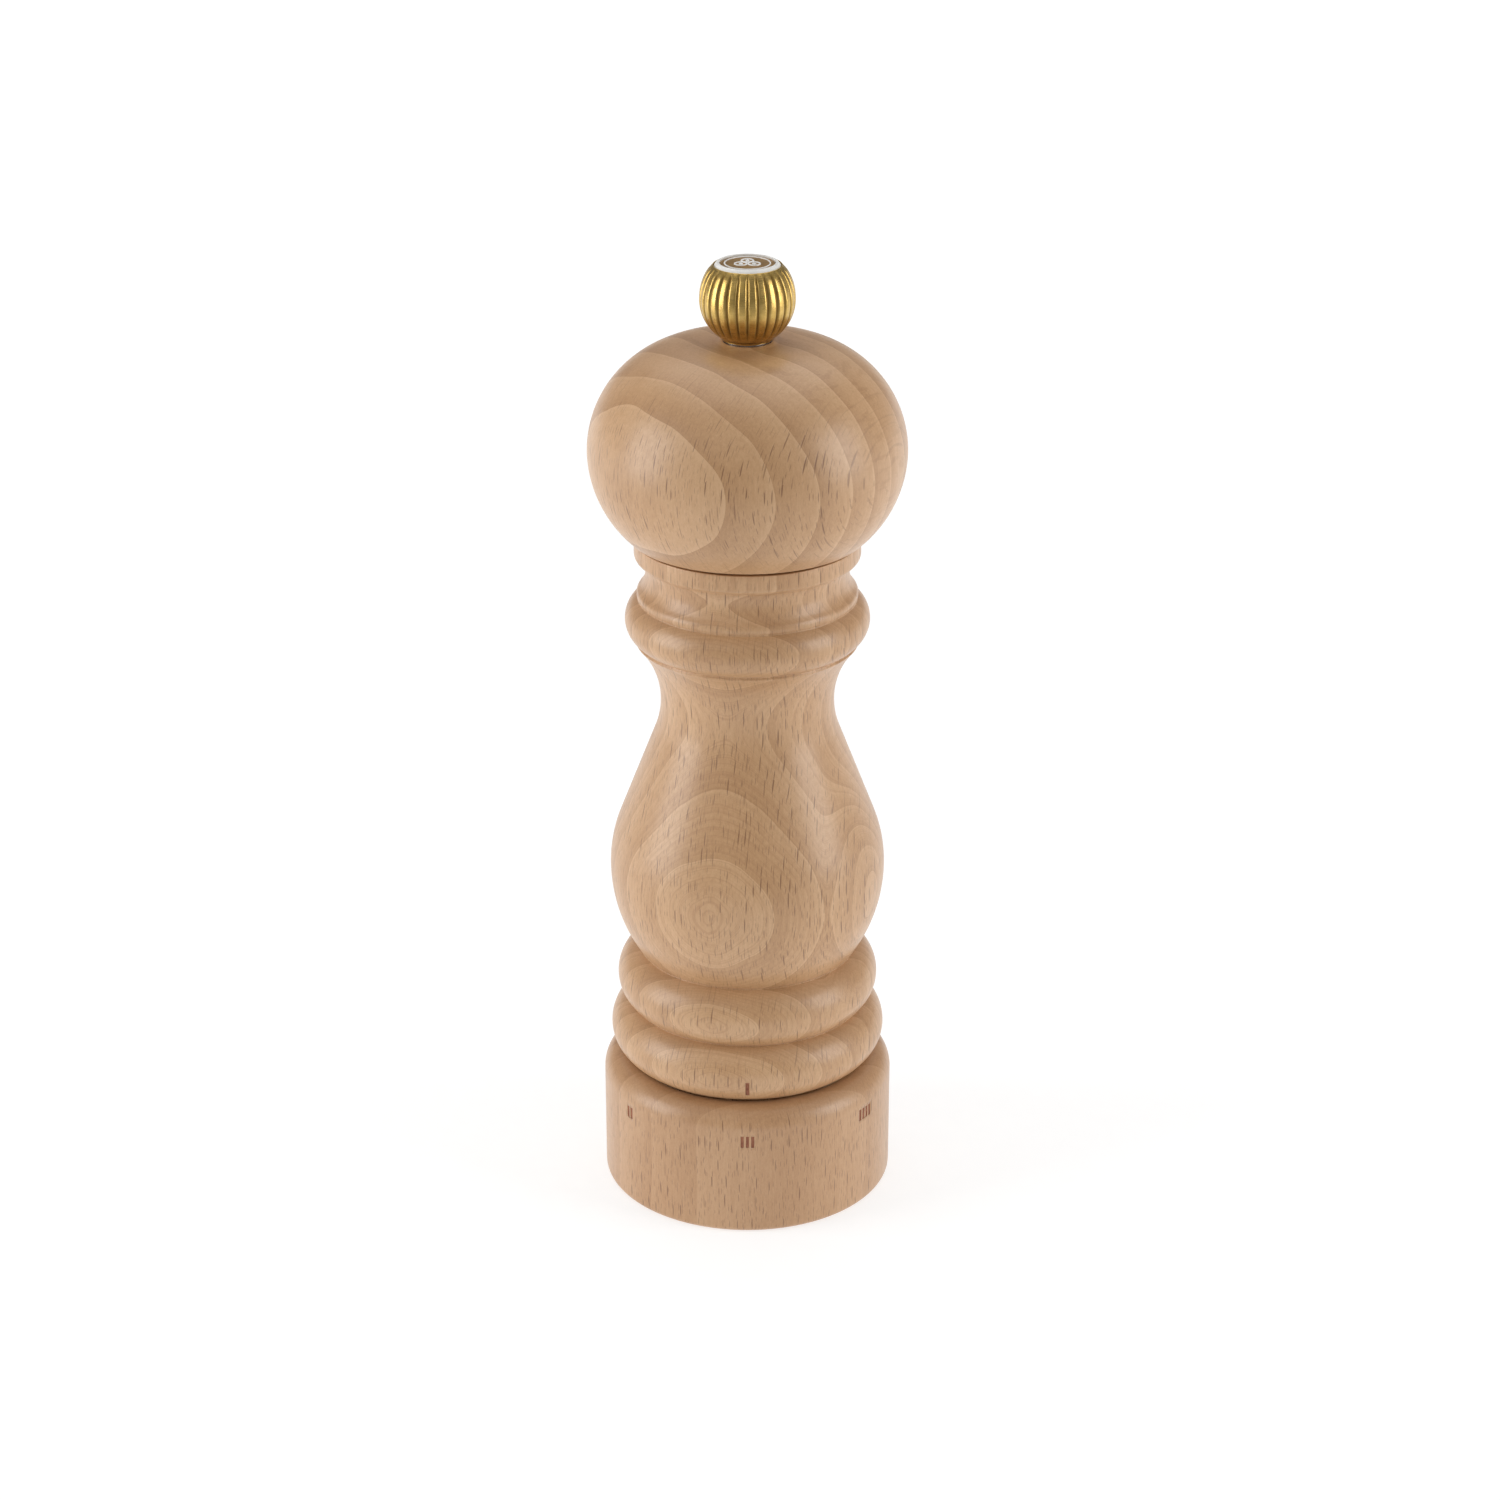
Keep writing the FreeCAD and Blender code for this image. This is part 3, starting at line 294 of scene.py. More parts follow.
class Log(Finish):
    """A finish that knows each point's place in the log. Sizes are in mm.

    pith_angle is in degrees from the front, positive to the right.
    """

    def __init__(self, name, pith_angle, pith_distance, seed, knot=None):
        super().__init__(name)
        place = self.add("TexCoord")
        self.seed = seed
        self.point = self.scaled(place.outputs["Object"], (1 / MM, 1 / MM, 1 / MM))
        self.shifted = self.vector("ADD", self.point,
                                   (seed * 37.0, seed * 19.0, seed * 53.0)).outputs[0]
        bent = self.strayed(self.point, (0.03, 0.03, 0.012), WANDER)
        bent = self.strayed(bent, (0.14, 0.14, 0.05), RIPPLE)

        angle = math.radians(pith_angle)
        across = (math.cos(angle), math.sin(angle), 0)
        inwards = (-math.sin(angle), math.cos(angle), 0)
        pith = (math.sin(angle) * pith_distance, -math.cos(angle) * pith_distance, 0.0)
        from_pith = self.vector("SUBTRACT", bent, pith).outputs[0]
        plain = self.vector("SUBTRACT", self.point, pith).outputs[0]
        flat = self.scaled(from_pith, (1, 1, 0))
        self.height = self.add("SeparateXYZ", {"Vector": from_pith}).outputs[2]
        self.depth = self.vector("LENGTH", flat).outputs["Value"]
        turn = self.calc("ARCTAN2", self.dot(plain, across), self.dot(plain, inwards))
        self.around = self.calc("MULTIPLY", turn, pith_distance)
        if knot is not None:
            centre, size, push = knot
            away = self.vector("DISTANCE", self.scaled(bent, (1, 1, 0.5)),
                               (centre[0], centre[1], centre[2] * 0.5)).outputs["Value"]
            self.depth = self.calc("ADD", self.depth, self.ramp(away, size, 0.0, 0.0, push))

        normal = place.outputs["Normal"]
        outwards = self.vector("NORMALIZE", flat).outputs[0]
        self.facing = self.calc("ABSOLUTE", self.dot(normal, outwards))
        self.end_grain = self.calc(
            "ABSOLUTE", self.add("SeparateXYZ", {"Vector": normal}).outputs[2])

    def dot(self, first, second):
        return self.vector("DOT_PRODUCT", first, second).outputs["Value"]

    def strayed(self, vector, scale, reach):
        """The vector moved sideways by a slow noise."""
        noise = self.noise(self.scaled(self.shifted, scale), 1.0, 2.0).outputs["Color"]
        offset = self.vector("SUBTRACT", noise, HALF).outputs[0]
        return self.vector("ADD", vector, self.scaled(offset, (reach, reach, 0.0))).outputs[0]

    def stretched(self, scale, detail, rough=0.5):
        """A noise that is fixed in the log, at its own scale each way."""
        return self.noise(self.scaled(self.shifted, scale), 1.0, detail, rough).outputs["Fac"]


print("the grain strays", WANDER, "mm slowly and", RIPPLE, "mm quickly")

# %% [markdown]
# ## Beech: growth rings
#
# Each year's ring starts pale, darkens outwards and ends at a sharp edge. Rings are cylinders round
# the pith, so a ball cut out of them shows ovals on the side that faces the bark. A wave texture
# would repeat evenly, so the depth is divided by the ring's width, with a slow noise that makes
# some years wider. Much finer lines lie between, and a few of them are dark thin arcs.

# %% growth rings
def growth_rings(wood, ring_width, first_ring):
    """How dark the band is, its pale first line, the year's own shade, and the finest rings."""
    along = wood.add("CombineXYZ", {"X": wood.depth, "Y": wood.seed * 7.0}).outputs[0]
    uneven = wood.noise(along, 0.10, 1.0).outputs["Fac"]
    count = wood.calc("DIVIDE", wood.calc("SUBTRACT", wood.depth, first_ring), ring_width)
    count = wood.calc("ADD", count, wood.ramp(uneven, 0.0, 1.0, -0.35, 0.35, smooth=False))
    phase = wood.calc("FRACT", count)
    band = wood.calc("POWER", phase, 1.8)
    pale_line = wood.ramp(phase, 0.12, 0.0)
    year = wood.add("TexWhiteNoise", {"W": wood.calc("FLOOR", count)}, noise_dimensions="1D")
    close = wood.add("CombineXYZ", {"X": wood.calc("MULTIPLY", wood.depth, 1.9),
                                    "Y": wood.seed}).outputs[0]
    finest = wood.noise(close, 1.0, 3.0, 0.7).outputs["Fac"]
    return band, pale_line, year.outputs["Value"], finest


print("a 57 mm head with rings 5.5 mm wide has about", round(57 / 5.5), "of them across it")

# %% [markdown]
# ## Beech: rays
#
# The short dark dashes that make beech easy to tell are its rays, seen on the faces that look
# towards the bark. They could be modelled as dents, but there are thousands. A Voronoi texture
# scatters one spot in each cell, and squeezing the cells makes each spot a thin upright lens. They
# fade where the surface turns away from the bark, or shows end grain.

# %% rays
LONG_RAY = (0.95, 4.0, 0.085, 1.5)    # a cell's width and height, half a dash's width and height
SHORT_RAY = (0.50, 1.9, 0.060, 0.75)


def dashes(wood, along, sizes, share, offset):
    """Upright lens-shaped spots, one in each cell, in that share of the cells."""
    width, height, half_width, half_height = sizes
    cell = wood.add("CombineXYZ", {
        "X": wood.calc("ADD", wood.calc("DIVIDE", along, width), offset),
        "Y": wood.calc("DIVIDE", wood.height, height)}).outputs[0]
    spots = wood.add("TexVoronoi", {"Vector": cell, "Scale": 1.0, "Randomness": 1.0},
                     voronoi_dimensions="2D", feature="F1")
    gap = wood.vector("SUBTRACT", cell, spots.outputs["Position"]).outputs[0]
    gap = wood.scaled(gap, (width / half_width, height / half_height, 0))
    reach = wood.vector("LENGTH", gap).outputs["Value"]
    pick = wood.add("SeparateColor", {"Color": spots.outputs["Color"]})
    kept = wood.ramp(pick.outputs[0], share, share * 0.4)
    size = wood.calc("ADD", wood.calc("MULTIPLY", pick.outputs[1], 0.8), 0.45)
    spot = wood.ramp(wood.calc("DIVIDE", reach, size), 1.15, 0.55)
    return wood.calc("MULTIPLY", spot, kept)


def ray_flecks(wood, share):
    """Long rays, with short faint ones between them."""
    sway = wood.stretched((0.07, 0.07, 0.03), 1.0)
    along = wood.calc("ADD", wood.around, wood.calc("MULTIPLY", sway, 2.2))
    long_rays = dashes(wood, along, LONG_RAY, share * 0.8, 0.0)
    short_rays = dashes(wood, along, SHORT_RAY, 0.9, 31.0)
    shown = wood.calc("MULTIPLY", wood.ramp(wood.facing, 0.12, 0.6, 0.25, 1.0),
                      wood.ramp(wood.end_grain, 0.3, 0.85, 1.0, 0.35))
    both = wood.calc("MAXIMUM", long_rays, wood.calc("MULTIPLY", short_rays, 0.6))
    return wood.calc("MULTIPLY", shown, both)


def side_figure(wood):
    """The mottled silver figure on the faces that lie along the rays."""
    spot = wood.add("CombineXYZ", {"X": wood.calc("MULTIPLY", wood.depth, 0.28),
                                   "Y": wood.calc("MULTIPLY", wood.height, 0.9),
                                   "Z": wood.seed}).outputs[0]
    figure = wood.noise(spot, 1.0, 3.0, 0.6).outputs["Fac"]
    return wood.calc("MULTIPLY", wood.ramp(figure, 0.52, 0.62),
                     wood.ramp(wood.facing, 0.55, 0.1, 0.0, 0.22))


print("a long ray is about", 2 * LONG_RAY[2], "mm wide and", 2 * LONG_RAY[3], "mm tall")

# %% [markdown]
# ## Beech: colour and lacquer
#
# All of it adds up to one tone from pale to deep, and a colour ramp turns the tone into wood.
# Pores and fibres are noises stretched along the grain. The satin lacquer is a thin coat over the
# wood, which gives the edges their soft white sheen, and the pores stay just open under it.

# %% beech
PALE = rgb(0.640, 0.400, 0.218)
MIDDLE = rgb(0.545, 0.318, 0.158)
DEEP = rgb(0.425, 0.230, 0.104)
RAY = rgb(0.165, 0.066, 0.022)
ARC = rgb(0.38, 0.185, 0.080)


def beech(name, pith_angle, pith_distance, ring_width, first_ring, seed, contrast=1.0,
          ray_share=0.85, thin_arcs=0.0, tint=(1, 1, 1), knot=None):
    """A beech finish: knot is a place, a size and how far the rings are pushed. Sizes are in mm."""
    wood = Log(name, pith_angle, pith_distance, seed, knot)
    band, pale_line, year, finest = growth_rings(wood, ring_width, first_ring)
    rays = ray_flecks(wood, ray_share)
    arcs = wood.calc("ABSOLUTE", wood.calc("SUBTRACT", finest, 0.5))
    arcs = wood.ramp(arcs, 0.028, 0.0, 0.0, thin_arcs)
    fibre = wood.stretched((2.4, 2.4, 0.30), 4.0, 0.62)
    pores = wood.stretched((6.0, 6.0, 2.2), 2.0, 0.6)
    cloud = wood.stretched((0.09, 0.09, 0.03), 3.0)

    tone = wood.calc("MULTIPLY", band, 0.50 * contrast)
    tone = wood.calc("SUBTRACT", tone, wood.calc("MULTIPLY", pale_line, 0.20 * contrast))
    tone = wood.calc("ADD", tone, wood.calc("MULTIPLY", year, 0.12 * contrast))
    for part, low, high, least, most in ((finest, 0.35, 0.65, -0.05, 0.07),
                                         (cloud, 0.3, 0.7, 0.0, 0.30),
                                         (fibre, 0.3, 0.7, -0.14, 0.18),
                                         (pores, 0.3, 0.7, -0.10, 0.14)):
        tone = wood.calc("ADD", tone, wood.ramp(part, low, high, least, most, smooth=False))
    tone = wood.calc("ADD", tone, side_figure(wood))
    tone = wood.calc("ADD", tone, wood.calc("MULTIPLY", wood.end_grain, 0.08), clamp=True)

    stops = wood.add("ValToRGB", {"Fac": tone})
    stops.color_ramp.elements[0].color = PALE
    stops.color_ramp.elements[1].color = DEEP
    stops.color_ramp.elements.new(0.45).color = MIDDLE
    colour = wood.mix(arcs, stops.outputs["Color"], ARC)
    colour = wood.mix(wood.calc("MULTIPLY", rays, 0.72), colour, RAY)
    colour = wood.mix(1.0, colour, rgb(*tint), "MULTIPLY")

    height = wood.calc("SUBTRACT", wood.calc("MULTIPLY", pores, 0.5), rays)
    bump = wood.add("Bump", {"Height": height, "Strength": 0.35, "Distance": 0.00008})
    wood.set(Base_Color=colour, Normal=bump.outputs["Normal"],
             Roughness=wood.ramp(fibre, 0.3, 0.7, 0.40, 0.52, smooth=False),
             Specular_IOR_Level=0.45, Coat_Weight=0.55, Coat_Roughness=0.30)
    return wood.material


print("beech runs from", PALE[:3], "in the young wood to", DEEP[:3], "in the late wood")

# %% [markdown]
# ## The head
#
# The head is a flattened ball that swells over the barrel's lip, with a tenon below that fits the
# barrel's mouth. Its blank was cut so that the bark lay in front and to the left, so that is where
# its ovals are centred, and the bands sweep away from them over the top. It is spun from two arcs
# that meet at the widest place. Its foot is undercut a little, so that a dark seam shows over the
# barrel, and a thin lip of wood laps over the flange of the bush in its top.

# %% head
def measured(node):
    low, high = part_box(node)
    return low / MM, high / MM


head_low, head_high = measured("head")
barrel_low, barrel_high = measured("barrel")
HEAD_RADIUS = head_high.x
SEAM = 0.4                       # between the barrel's lip and the head
head_foot = barrel_high.z + SEAM
HEAD_LOW_RISE = 15.9
head_middle = head_foot + HEAD_LOW_RISE
head_flat = HEAD_RADIUS - (head_high.z - head_middle)
HEAD_LOW_ROUND = 21.3
head_foot_radius = (HEAD_RADIUS - HEAD_LOW_ROUND
                    + math.sqrt(HEAD_LOW_ROUND ** 2 - HEAD_LOW_RISE ** 2))
UNDERCUT_RADIUS = 20.45
UNDERCUT = 0.35
TENON_RADIUS = 14.0
HEAD_BORE = 4.79
BUSH_RIM = 5.54
BUSH_FLANGE = 1.0
LIP_BORE = 4.3
LIP = 0.40
LIP_GAP = 0.015                  # between the lip and the bush's flange

head_corners = [
    (HEAD_BORE, head_low.z),
    (TENON_RADIUS, head_low.z),
    (TENON_RADIUS, head_foot),
    (UNDERCUT_RADIUS, head_foot),
    (head_foot_radius, head_foot + UNDERCUT),
]
head_equator = (HEAD_RADIUS, head_middle)
head_corners.append((*head_equator, swell_of(HEAD_LOW_ROUND, head_corners[-1], head_equator)))
head_crown = (head_flat, head_high.z)
head_corners.append((*head_crown, swell_of(head_high.z - head_middle, head_equator, head_crown)))
head_corners += [
    (BUSH_RIM, head_high.z + LIP / 3),
    (LIP_BORE + 0.45, head_high.z + LIP),
    (LIP_BORE, head_high.z + LIP),
    (LIP_BORE, head_high.z + LIP_GAP),
    (BUSH_RIM, head_high.z + LIP_GAP),
    (BUSH_RIM, head_high.z - BUSH_FLANGE),
    (HEAD_BORE, head_high.z - BUSH_FLANGE),
]
head_corners.append(head_corners[0])
head = spin("turned_head", eased(trace(head_corners)[:-1], 0.28))
head.data.materials.append(beech("beech_head", pith_angle=134.0, pith_distance=78.0,
                                 ring_width=5.5, first_ring=2.8, seed=1.0))
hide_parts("head")
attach(head, "head")
print("the head is", round(2 * HEAD_RADIUS, 1), "mm across, its seam at", round(head_foot, 1))

# %% [markdown]
# ## The barrel
#
# The barrel is one long turning: two beads, a pear-shaped bulb, a slim neck, a cove up to a thin
# quirk, a collar bead, a flat band, a throat and the lip that the head sits on. Straight flanks
# join the bulb to the neck. The outline runs up the outside and back down the inside, through the
# mouth, the pepper chamber and the wide bore for the grinding works.

# %% barrel
BARREL = [
    (17.05, barrel_low.z),
    (20.8, barrel_low.z),
    (20.8, 26.1),
    (22.9, 26.1),
    (22.0, 36.8, 3.33),
    (20.3, 47.7, 3.25),
    (25.55, 64.5, swell_of(29.51, (20.3, 47.7), (25.55, 64.5))),
    (23.81, 73.86, swell_of(26.0, (25.55, 64.5), (23.81, 73.86))),
    (17.06, 91.35),
    (20.37, 109.17, -swell_of(17.3, (17.06, 91.35), (20.37, 109.17))),
    (20.05, 109.6),
    (19.9, 117.52, 2.3),
    (20.1, 118.0),
    (20.05, 118.9),
    (19.35, 119.7),
    (19.3, 125.22, -0.85),
    (19.9, 125.22),
    (20.5, 125.82),
    (20.5, barrel_high.z),
    (14.3, barrel_high.z),
    (14.3, barrel_high.z - 15.5),
    (12.0, barrel_high.z - 15.5),
    (12.0, 30.3),
    (17.05, 30.3),
    (17.05, barrel_low.z),
]
SOFT = [(108.9, 109.8, 0.8), (117.2, 119.8, 1.2), (125.0, 126.2, 0.45),
        (barrel_high.z - 0.2, barrel_high.z + 0.2, 0.16)]
barrel = spin("turned_barrel", eased(trace(BARREL)[:-1], 0.3, SOFT))
barrel.data.materials.append(
    beech("beech_barrel", pith_angle=166.0, pith_distance=90.0, ring_width=4.2, first_ring=0.0,
          seed=2.0, contrast=0.75, ray_share=0.98, thin_arcs=0.28,
          knot=((25.0, -9.0, 62.0), 18.0, 22.0)))
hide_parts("barrel")
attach(barrel, "barrel")
print("the barrel stands from", round(barrel_low.z, 1), "to", round(barrel_high.z, 1), "mm")

# %% [markdown]
# ## The base ring
#
# The base ring is a plain drum with a well-rounded shoulder and a small round at its foot. Inside
# it has a ledge for the cam and a recess below for the ring that holds it on.

# %% base ring
base_high = measured("base_ring")[1]
BASE_RADIUS = base_high.x
BASE_TOP = base_high.z
FOOT_ROUND = 1.4
SHOULDER_ROUND = 4.2


def quarter(radius):
    """The swell of a quarter circle's arc over its ends."""
    return radius * (1 - math.sqrt(0.5))


BASE = [
    (20.2, 0.0),
    (BASE_RADIUS - FOOT_ROUND, 0.0),
    (BASE_RADIUS, FOOT_ROUND, quarter(FOOT_ROUND)),
    (BASE_RADIUS, BASE_TOP - SHOULDER_ROUND),
    (BASE_RADIUS - SHOULDER_ROUND, BASE_TOP, quarter(SHOULDER_ROUND)),
    (22.4, BASE_TOP),
    (22.4, 5.7),
    (17.3, 5.7),
    (17.3, 2.4),
    (20.2, 2.4),
    (20.2, 0.0),
]
base_ring = spin("turned_base_ring", eased(trace(BASE)[:-1], 0.25))
base_ring.data.materials.append(
    beech("beech_base", pith_angle=196.0, pith_distance=140.0, ring_width=7.4, first_ring=0.0,
          seed=3.0, contrast=0.5, ray_share=0.95, tint=(0.88, 0.84, 0.82)))
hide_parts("base_ring")
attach(base_ring, "selector")
print("the base ring is", round(2 * BASE_RADIUS, 1), "mm across and", round(BASE_TOP, 1), "mm tall")

# %% [markdown]
# ## Burnt marks
#
# The six settings are marked round the base ring with one to six short strokes, and one stroke on
# the barrel's lowest bead is the index. On the real thing they are burnt in with a hot stamp, so
# they are slightly sunk and reddish brown. They could be painted in the wood's material, but a
# stamp leaves a real dent. So a small block is cut out of the wood for each stroke, with a Boolean
# modifier that also passes on the block's scorched material.

# %% scorched wood
def scorched():
    """Wood burnt by a hot stamp: patchy, dull and a little rough."""
    burn = Finish("scorched_wood")
    place = burn.add("TexCoord")
    point = burn.scaled(place.outputs["Object"], (1 / MM, 1 / MM, 1 / MM))
    patchy = burn.noise(burn.scaled(point, (3.0, 3.0, 0.9)), 1.0, 3.0).outputs["Fac"]
    colour = burn.mix(burn.ramp(patchy, 0.35, 0.65), rgb(0.25, 0.080, 0.036),
                      rgb(0.38, 0.150, 0.078))
    bump = burn.add("Bump", {"Height": patchy, "Strength": 0.4, "Distance": 0.00006})
    burn.set(Base_Color=colour, Roughness=burn.ramp(patchy, 0.3, 0.7, 0.55, 0.75),
             Normal=bump.outputs["Normal"])
    return burn.material


scorched_wood = scorched()
print("the burnt marks are finished in", scorched_wood.name)


def stroke(verts, faces, radius, height, degrees, width, tall, depth, lean=0.0):
    """Add one block that reaches into the wood at an angle from the front, to the right."""
    angle = math.radians(degrees)
    out = Vector((math.sin(angle), -math.cos(angle), 0))
    side = Vector((math.cos(angle), math.sin(angle), 0))
    first = len(verts)
    for reach in (-depth, 1.0):
        for across, up in ((-1, -1), (1, -1), (1, 1), (-1, 1)):
            rise = up * tall / 2
            spot = out * (radius + reach + rise * lean) + side * (across * width / 2)
            spot.z = height + rise
            verts.append(spot * MM)
    for face in ((3, 2, 1, 0), (4, 5, 6, 7), (1, 5, 4, 0), (2, 6, 5, 1), (3, 7, 6, 2),
                 (0, 4, 7, 3)):
        faces.append([first + k for k in face])


def stamp(piece, verts, faces):
    """Cut the blocks out of a piece and leave scorched wood in the cuts."""
    mesh = bpy.data.meshes.new("stamp")
    mesh.from_pydata([tuple(v) for v in verts], [], faces)
    mesh.materials.append(scorched_wood)
    block = bpy.data.objects.new("stamp", mesh)
    bpy.context.scene.collection.objects.link(block)
    cut = piece.modifiers.new("stamp", "BOOLEAN")
    cut.operation = "DIFFERENCE"
    cut.object = block
    cut.solver = "EXACT"
    cut.material_mode = "TRANSFER"
    with bpy.context.temp_override(object=piece, active_object=piece):
        bpy.ops.object.modifier_apply(modifier=cut.name)
    bpy.data.objects.remove(block)
    print(piece.name, "stamped;", len(piece.data.polygons), "faces")


# %% stamp the settings and the index
STROKE_WIDTH = 0.57
STROKE_HEIGHT = 2.3
STROKE_PITCH = 0.98
STAMP_DEPTH = 0.08
MARK_LEVEL = 19.5
SETTINGS = 6
SETTING_PITCH = 54.0
REST_SETTING = 3

verts, faces = [], []
for setting in range(1, SETTINGS + 1):
    middle = (setting - REST_SETTING) * SETTING_PITCH
    for k in range(setting):
        aside = (k - (setting - 1) / 2) * STROKE_PITCH
        stroke(verts, faces, BASE_RADIUS, MARK_LEVEL,
               middle + math.degrees(aside / BASE_RADIUS),
               STROKE_WIDTH, STROKE_HEIGHT, STAMP_DEPTH)
stamp(base_ring, verts, faces)

INDEX_RADIUS = 25.36
INDEX_LEVEL = 29.65
INDEX_WIDTH = 0.72
INDEX_HEIGHT = 3.0
INDEX_DEPTH = 0.07
INDEX_LEAN = 0.277               # the bead's side leans out this much for each unit of height
verts, faces = [], []
stroke(verts, faces, INDEX_RADIUS, INDEX_LEVEL, 0.0, INDEX_WIDTH, INDEX_HEIGHT, INDEX_DEPTH,
       lean=INDEX_LEAN)
stamp(barrel, verts, faces)

# %% [markdown]
# ## The knob
#
# The knob is a gilt metal ball with fine upright ribs: broad rounded ribs with narrow valleys
# between. A modifier could array one rib, but the ribs swell and fade with the ball, so the ball
# is spun with a radius that depends on the angle. The ribs fade out at the foot and under the rim.

# %% ribbed ball
knob_low, knob_high = measured("knob")
bezel_low, bezel_high = measured("knob_bezel")
disc_low, disc_high = measured("knob_disc")
KNOB_RADIUS = 8.5
KNOB_FOOT = 4.45
KNOB_SHOULDER = 6.95
RIBS = 28
RIB_DEPTH = 0.32
KNOB_FOOT_HEIGHT = 0.3
KNOB_LOW_RISE = 7.1
KNOB_UPPER_RISE = 5.1
knob_swell = knob_low.z + KNOB_FOOT_HEIGHT
knob_middle = knob_swell + KNOB_LOW_RISE
knob_shoulder = knob_middle + KNOB_UPPER_RISE
KNOB_BORE = 3.75
SEAT_RADIUS = 5.95
RIM_LIFT = 0.35                  # the polished rim stands a little higher round the white ring


def beside(rise, span):
    """The radius of an arc that starts upright, and moves in by span over that rise."""
    return (rise * rise + span * span) / (2 * span)


foot_corner = (KNOB_FOOT, knob_swell)
knob_equator = (KNOB_RADIUS, knob_middle)
rim_corner = (KNOB_SHOULDER, knob_shoulder)
low_arc = swell_of(beside(KNOB_LOW_RISE, KNOB_RADIUS - KNOB_FOOT), foot_corner, knob_equator)
upper_arc = swell_of(beside(KNOB_UPPER_RISE, KNOB_RADIUS - KNOB_SHOULDER), knob_equator, rim_corner)
KNOB = [
    (KNOB_BORE, knob_low.z),
    (KNOB_FOOT, knob_low.z),
    foot_corner,
    (*knob_equator, low_arc),
    (*rim_corner, upper_arc),
    (SEAT_RADIUS, knob_high.z + RIM_LIFT),
    (SEAT_RADIUS, bezel_low.z),
    (KNOB_BORE, bezel_low.z),
    (KNOB_BORE, knob_low.z),
]


def ribbed(angle, radius, height):
    """Broad ribs with narrow valleys, full at the ball's middle and fading at both ends."""
    valley = np.abs(np.cos(angle * RIBS / 2)) ** 9
    low = np.clip((height - knob_swell - 0.4) / 3.0, 0, 1)
    high = np.clip((knob_shoulder + 0.75 - height) / 0.7, 0, 1)
    fade = low * low * (3 - 2 * low) * high * high * (3 - 2 * high)
    outside = radius > SEAT_RADIUS + 0.01
    return radius - RIB_DEPTH * valley * fade * outside


knob = spin("ribbed_knob", eased(trace(KNOB)[:-1], 0.3), segments=RIBS * 20, radius_at=ribbed)

# %% [markdown]
# ## Gilt metal
#
# The finish is a satin gold over metal. A plain metallic colour would look like plastic, so its
# roughness varies with a fine brushing round the axis. The valleys' colour is darkened: painted
# shade where ambient occlusion would fall, together with the polish and dirt that stay there.
# Ambient occlusion is slow to bake, so the ribs' own formula gives the darkening at once, from the
# angle round the knob.

# %% gilt, bronze and ivory finishes
def gilt():
    gold = Finish("gilt_metal")
    place = gold.add("TexCoord")
    point = gold.scaled(place.outputs["Object"], (1 / MM, 1 / MM, 1 / MM))
    parts = gold.add("SeparateXYZ", {"Vector": point})
    angle = gold.calc("ARCTAN2", parts.outputs[1], parts.outputs[0])
    wave = gold.calc("ABSOLUTE", gold.calc("COSINE", gold.calc("MULTIPLY", angle, RIBS / 2)))
    valley = gold.calc("POWER", wave, 9.0)
    low = gold.ramp(parts.outputs[2], knob_swell + 0.4, knob_swell + 3.2)
    high = gold.ramp(parts.outputs[2], knob_shoulder + 0.75, knob_shoulder + 0.1)
    valley = gold.calc("MULTIPLY", valley, gold.calc("MULTIPLY", low, high))
    mottled = gold.noise(gold.scaled(point, (0.9, 0.9, 0.9)), 1.0, 4.0).outputs["Fac"]
    scratch = gold.noise(gold.add("CombineXYZ", {
        "X": gold.calc("MULTIPLY", angle, 2.0),
        "Y": gold.calc("MULTIPLY", parts.outputs[2], 9.0)}).outputs[0], 1.0, 4.0, 0.65)
    colour = gold.mix(gold.ramp(mottled, 0.3, 0.7), rgb(0.56, 0.375, 0.110), rgb(0.68, 0.465, 0.155))
    # painted shade: the valleys' colour is pulled towards near black, standing in for the shade
    # between the ribs as well as their dirt
    colour = gold.mix(gold.calc("MULTIPLY", valley, 0.8), colour, rgb(0.13, 0.07, 0.015))
    rough = gold.calc("ADD", gold.ramp(scratch.outputs["Fac"], 0.3, 0.7, 0.24, 0.38),
                      gold.calc("MULTIPLY", valley, 0.2))
    bump = gold.add("Bump", {"Height": scratch.outputs["Fac"], "Strength": 0.18,
                             "Distance": 0.00005})
    gold.set(Base_Color=colour, Metallic=1.0, Roughness=rough, Normal=bump.outputs["Normal"])
    return gold.material


knob.data.materials.append(gilt())
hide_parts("knob")
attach(knob, "knob")


def smooth_finish(name, first, second, roughness, metallic=0.0, grain=0.6, depth=0.00002, **more):
    """A moulded or lacquered finish: a slow change of colour and a very fine surface."""
    finish = Finish(name)
    place = finish.add("TexCoord")
    point = finish.scaled(place.outputs["Object"], (1 / MM, 1 / MM, 1 / MM))
    slow = finish.noise(point, grain, 3.0).outputs["Fac"]
    fine = finish.noise(point, 7.0, 2.0).outputs["Fac"]
    colour = finish.mix(finish.ramp(slow, 0.32, 0.68), rgb(*first), rgb(*second))
    bump = finish.add("Bump", {"Height": fine, "Strength": 0.3, "Distance": depth})
    finish.set(Base_Color=colour, Metallic=metallic, Normal=bump.outputs["Normal"],
               Roughness=finish.ramp(fine, 0.3, 0.7, roughness - 0.05, roughness + 0.06), **more)
    return finish.material


# %% [markdown]
# ## The knob's top
#
# A white ring with a sloping top frames a small bronze disc. The disc carries a plain motif of
# three peppercorns inside a fine circle. It could be an image, but raised metal catches the light
# as the real printing does, so the motif is made of thin tubes and beads a tenth of a millimetre
# high.

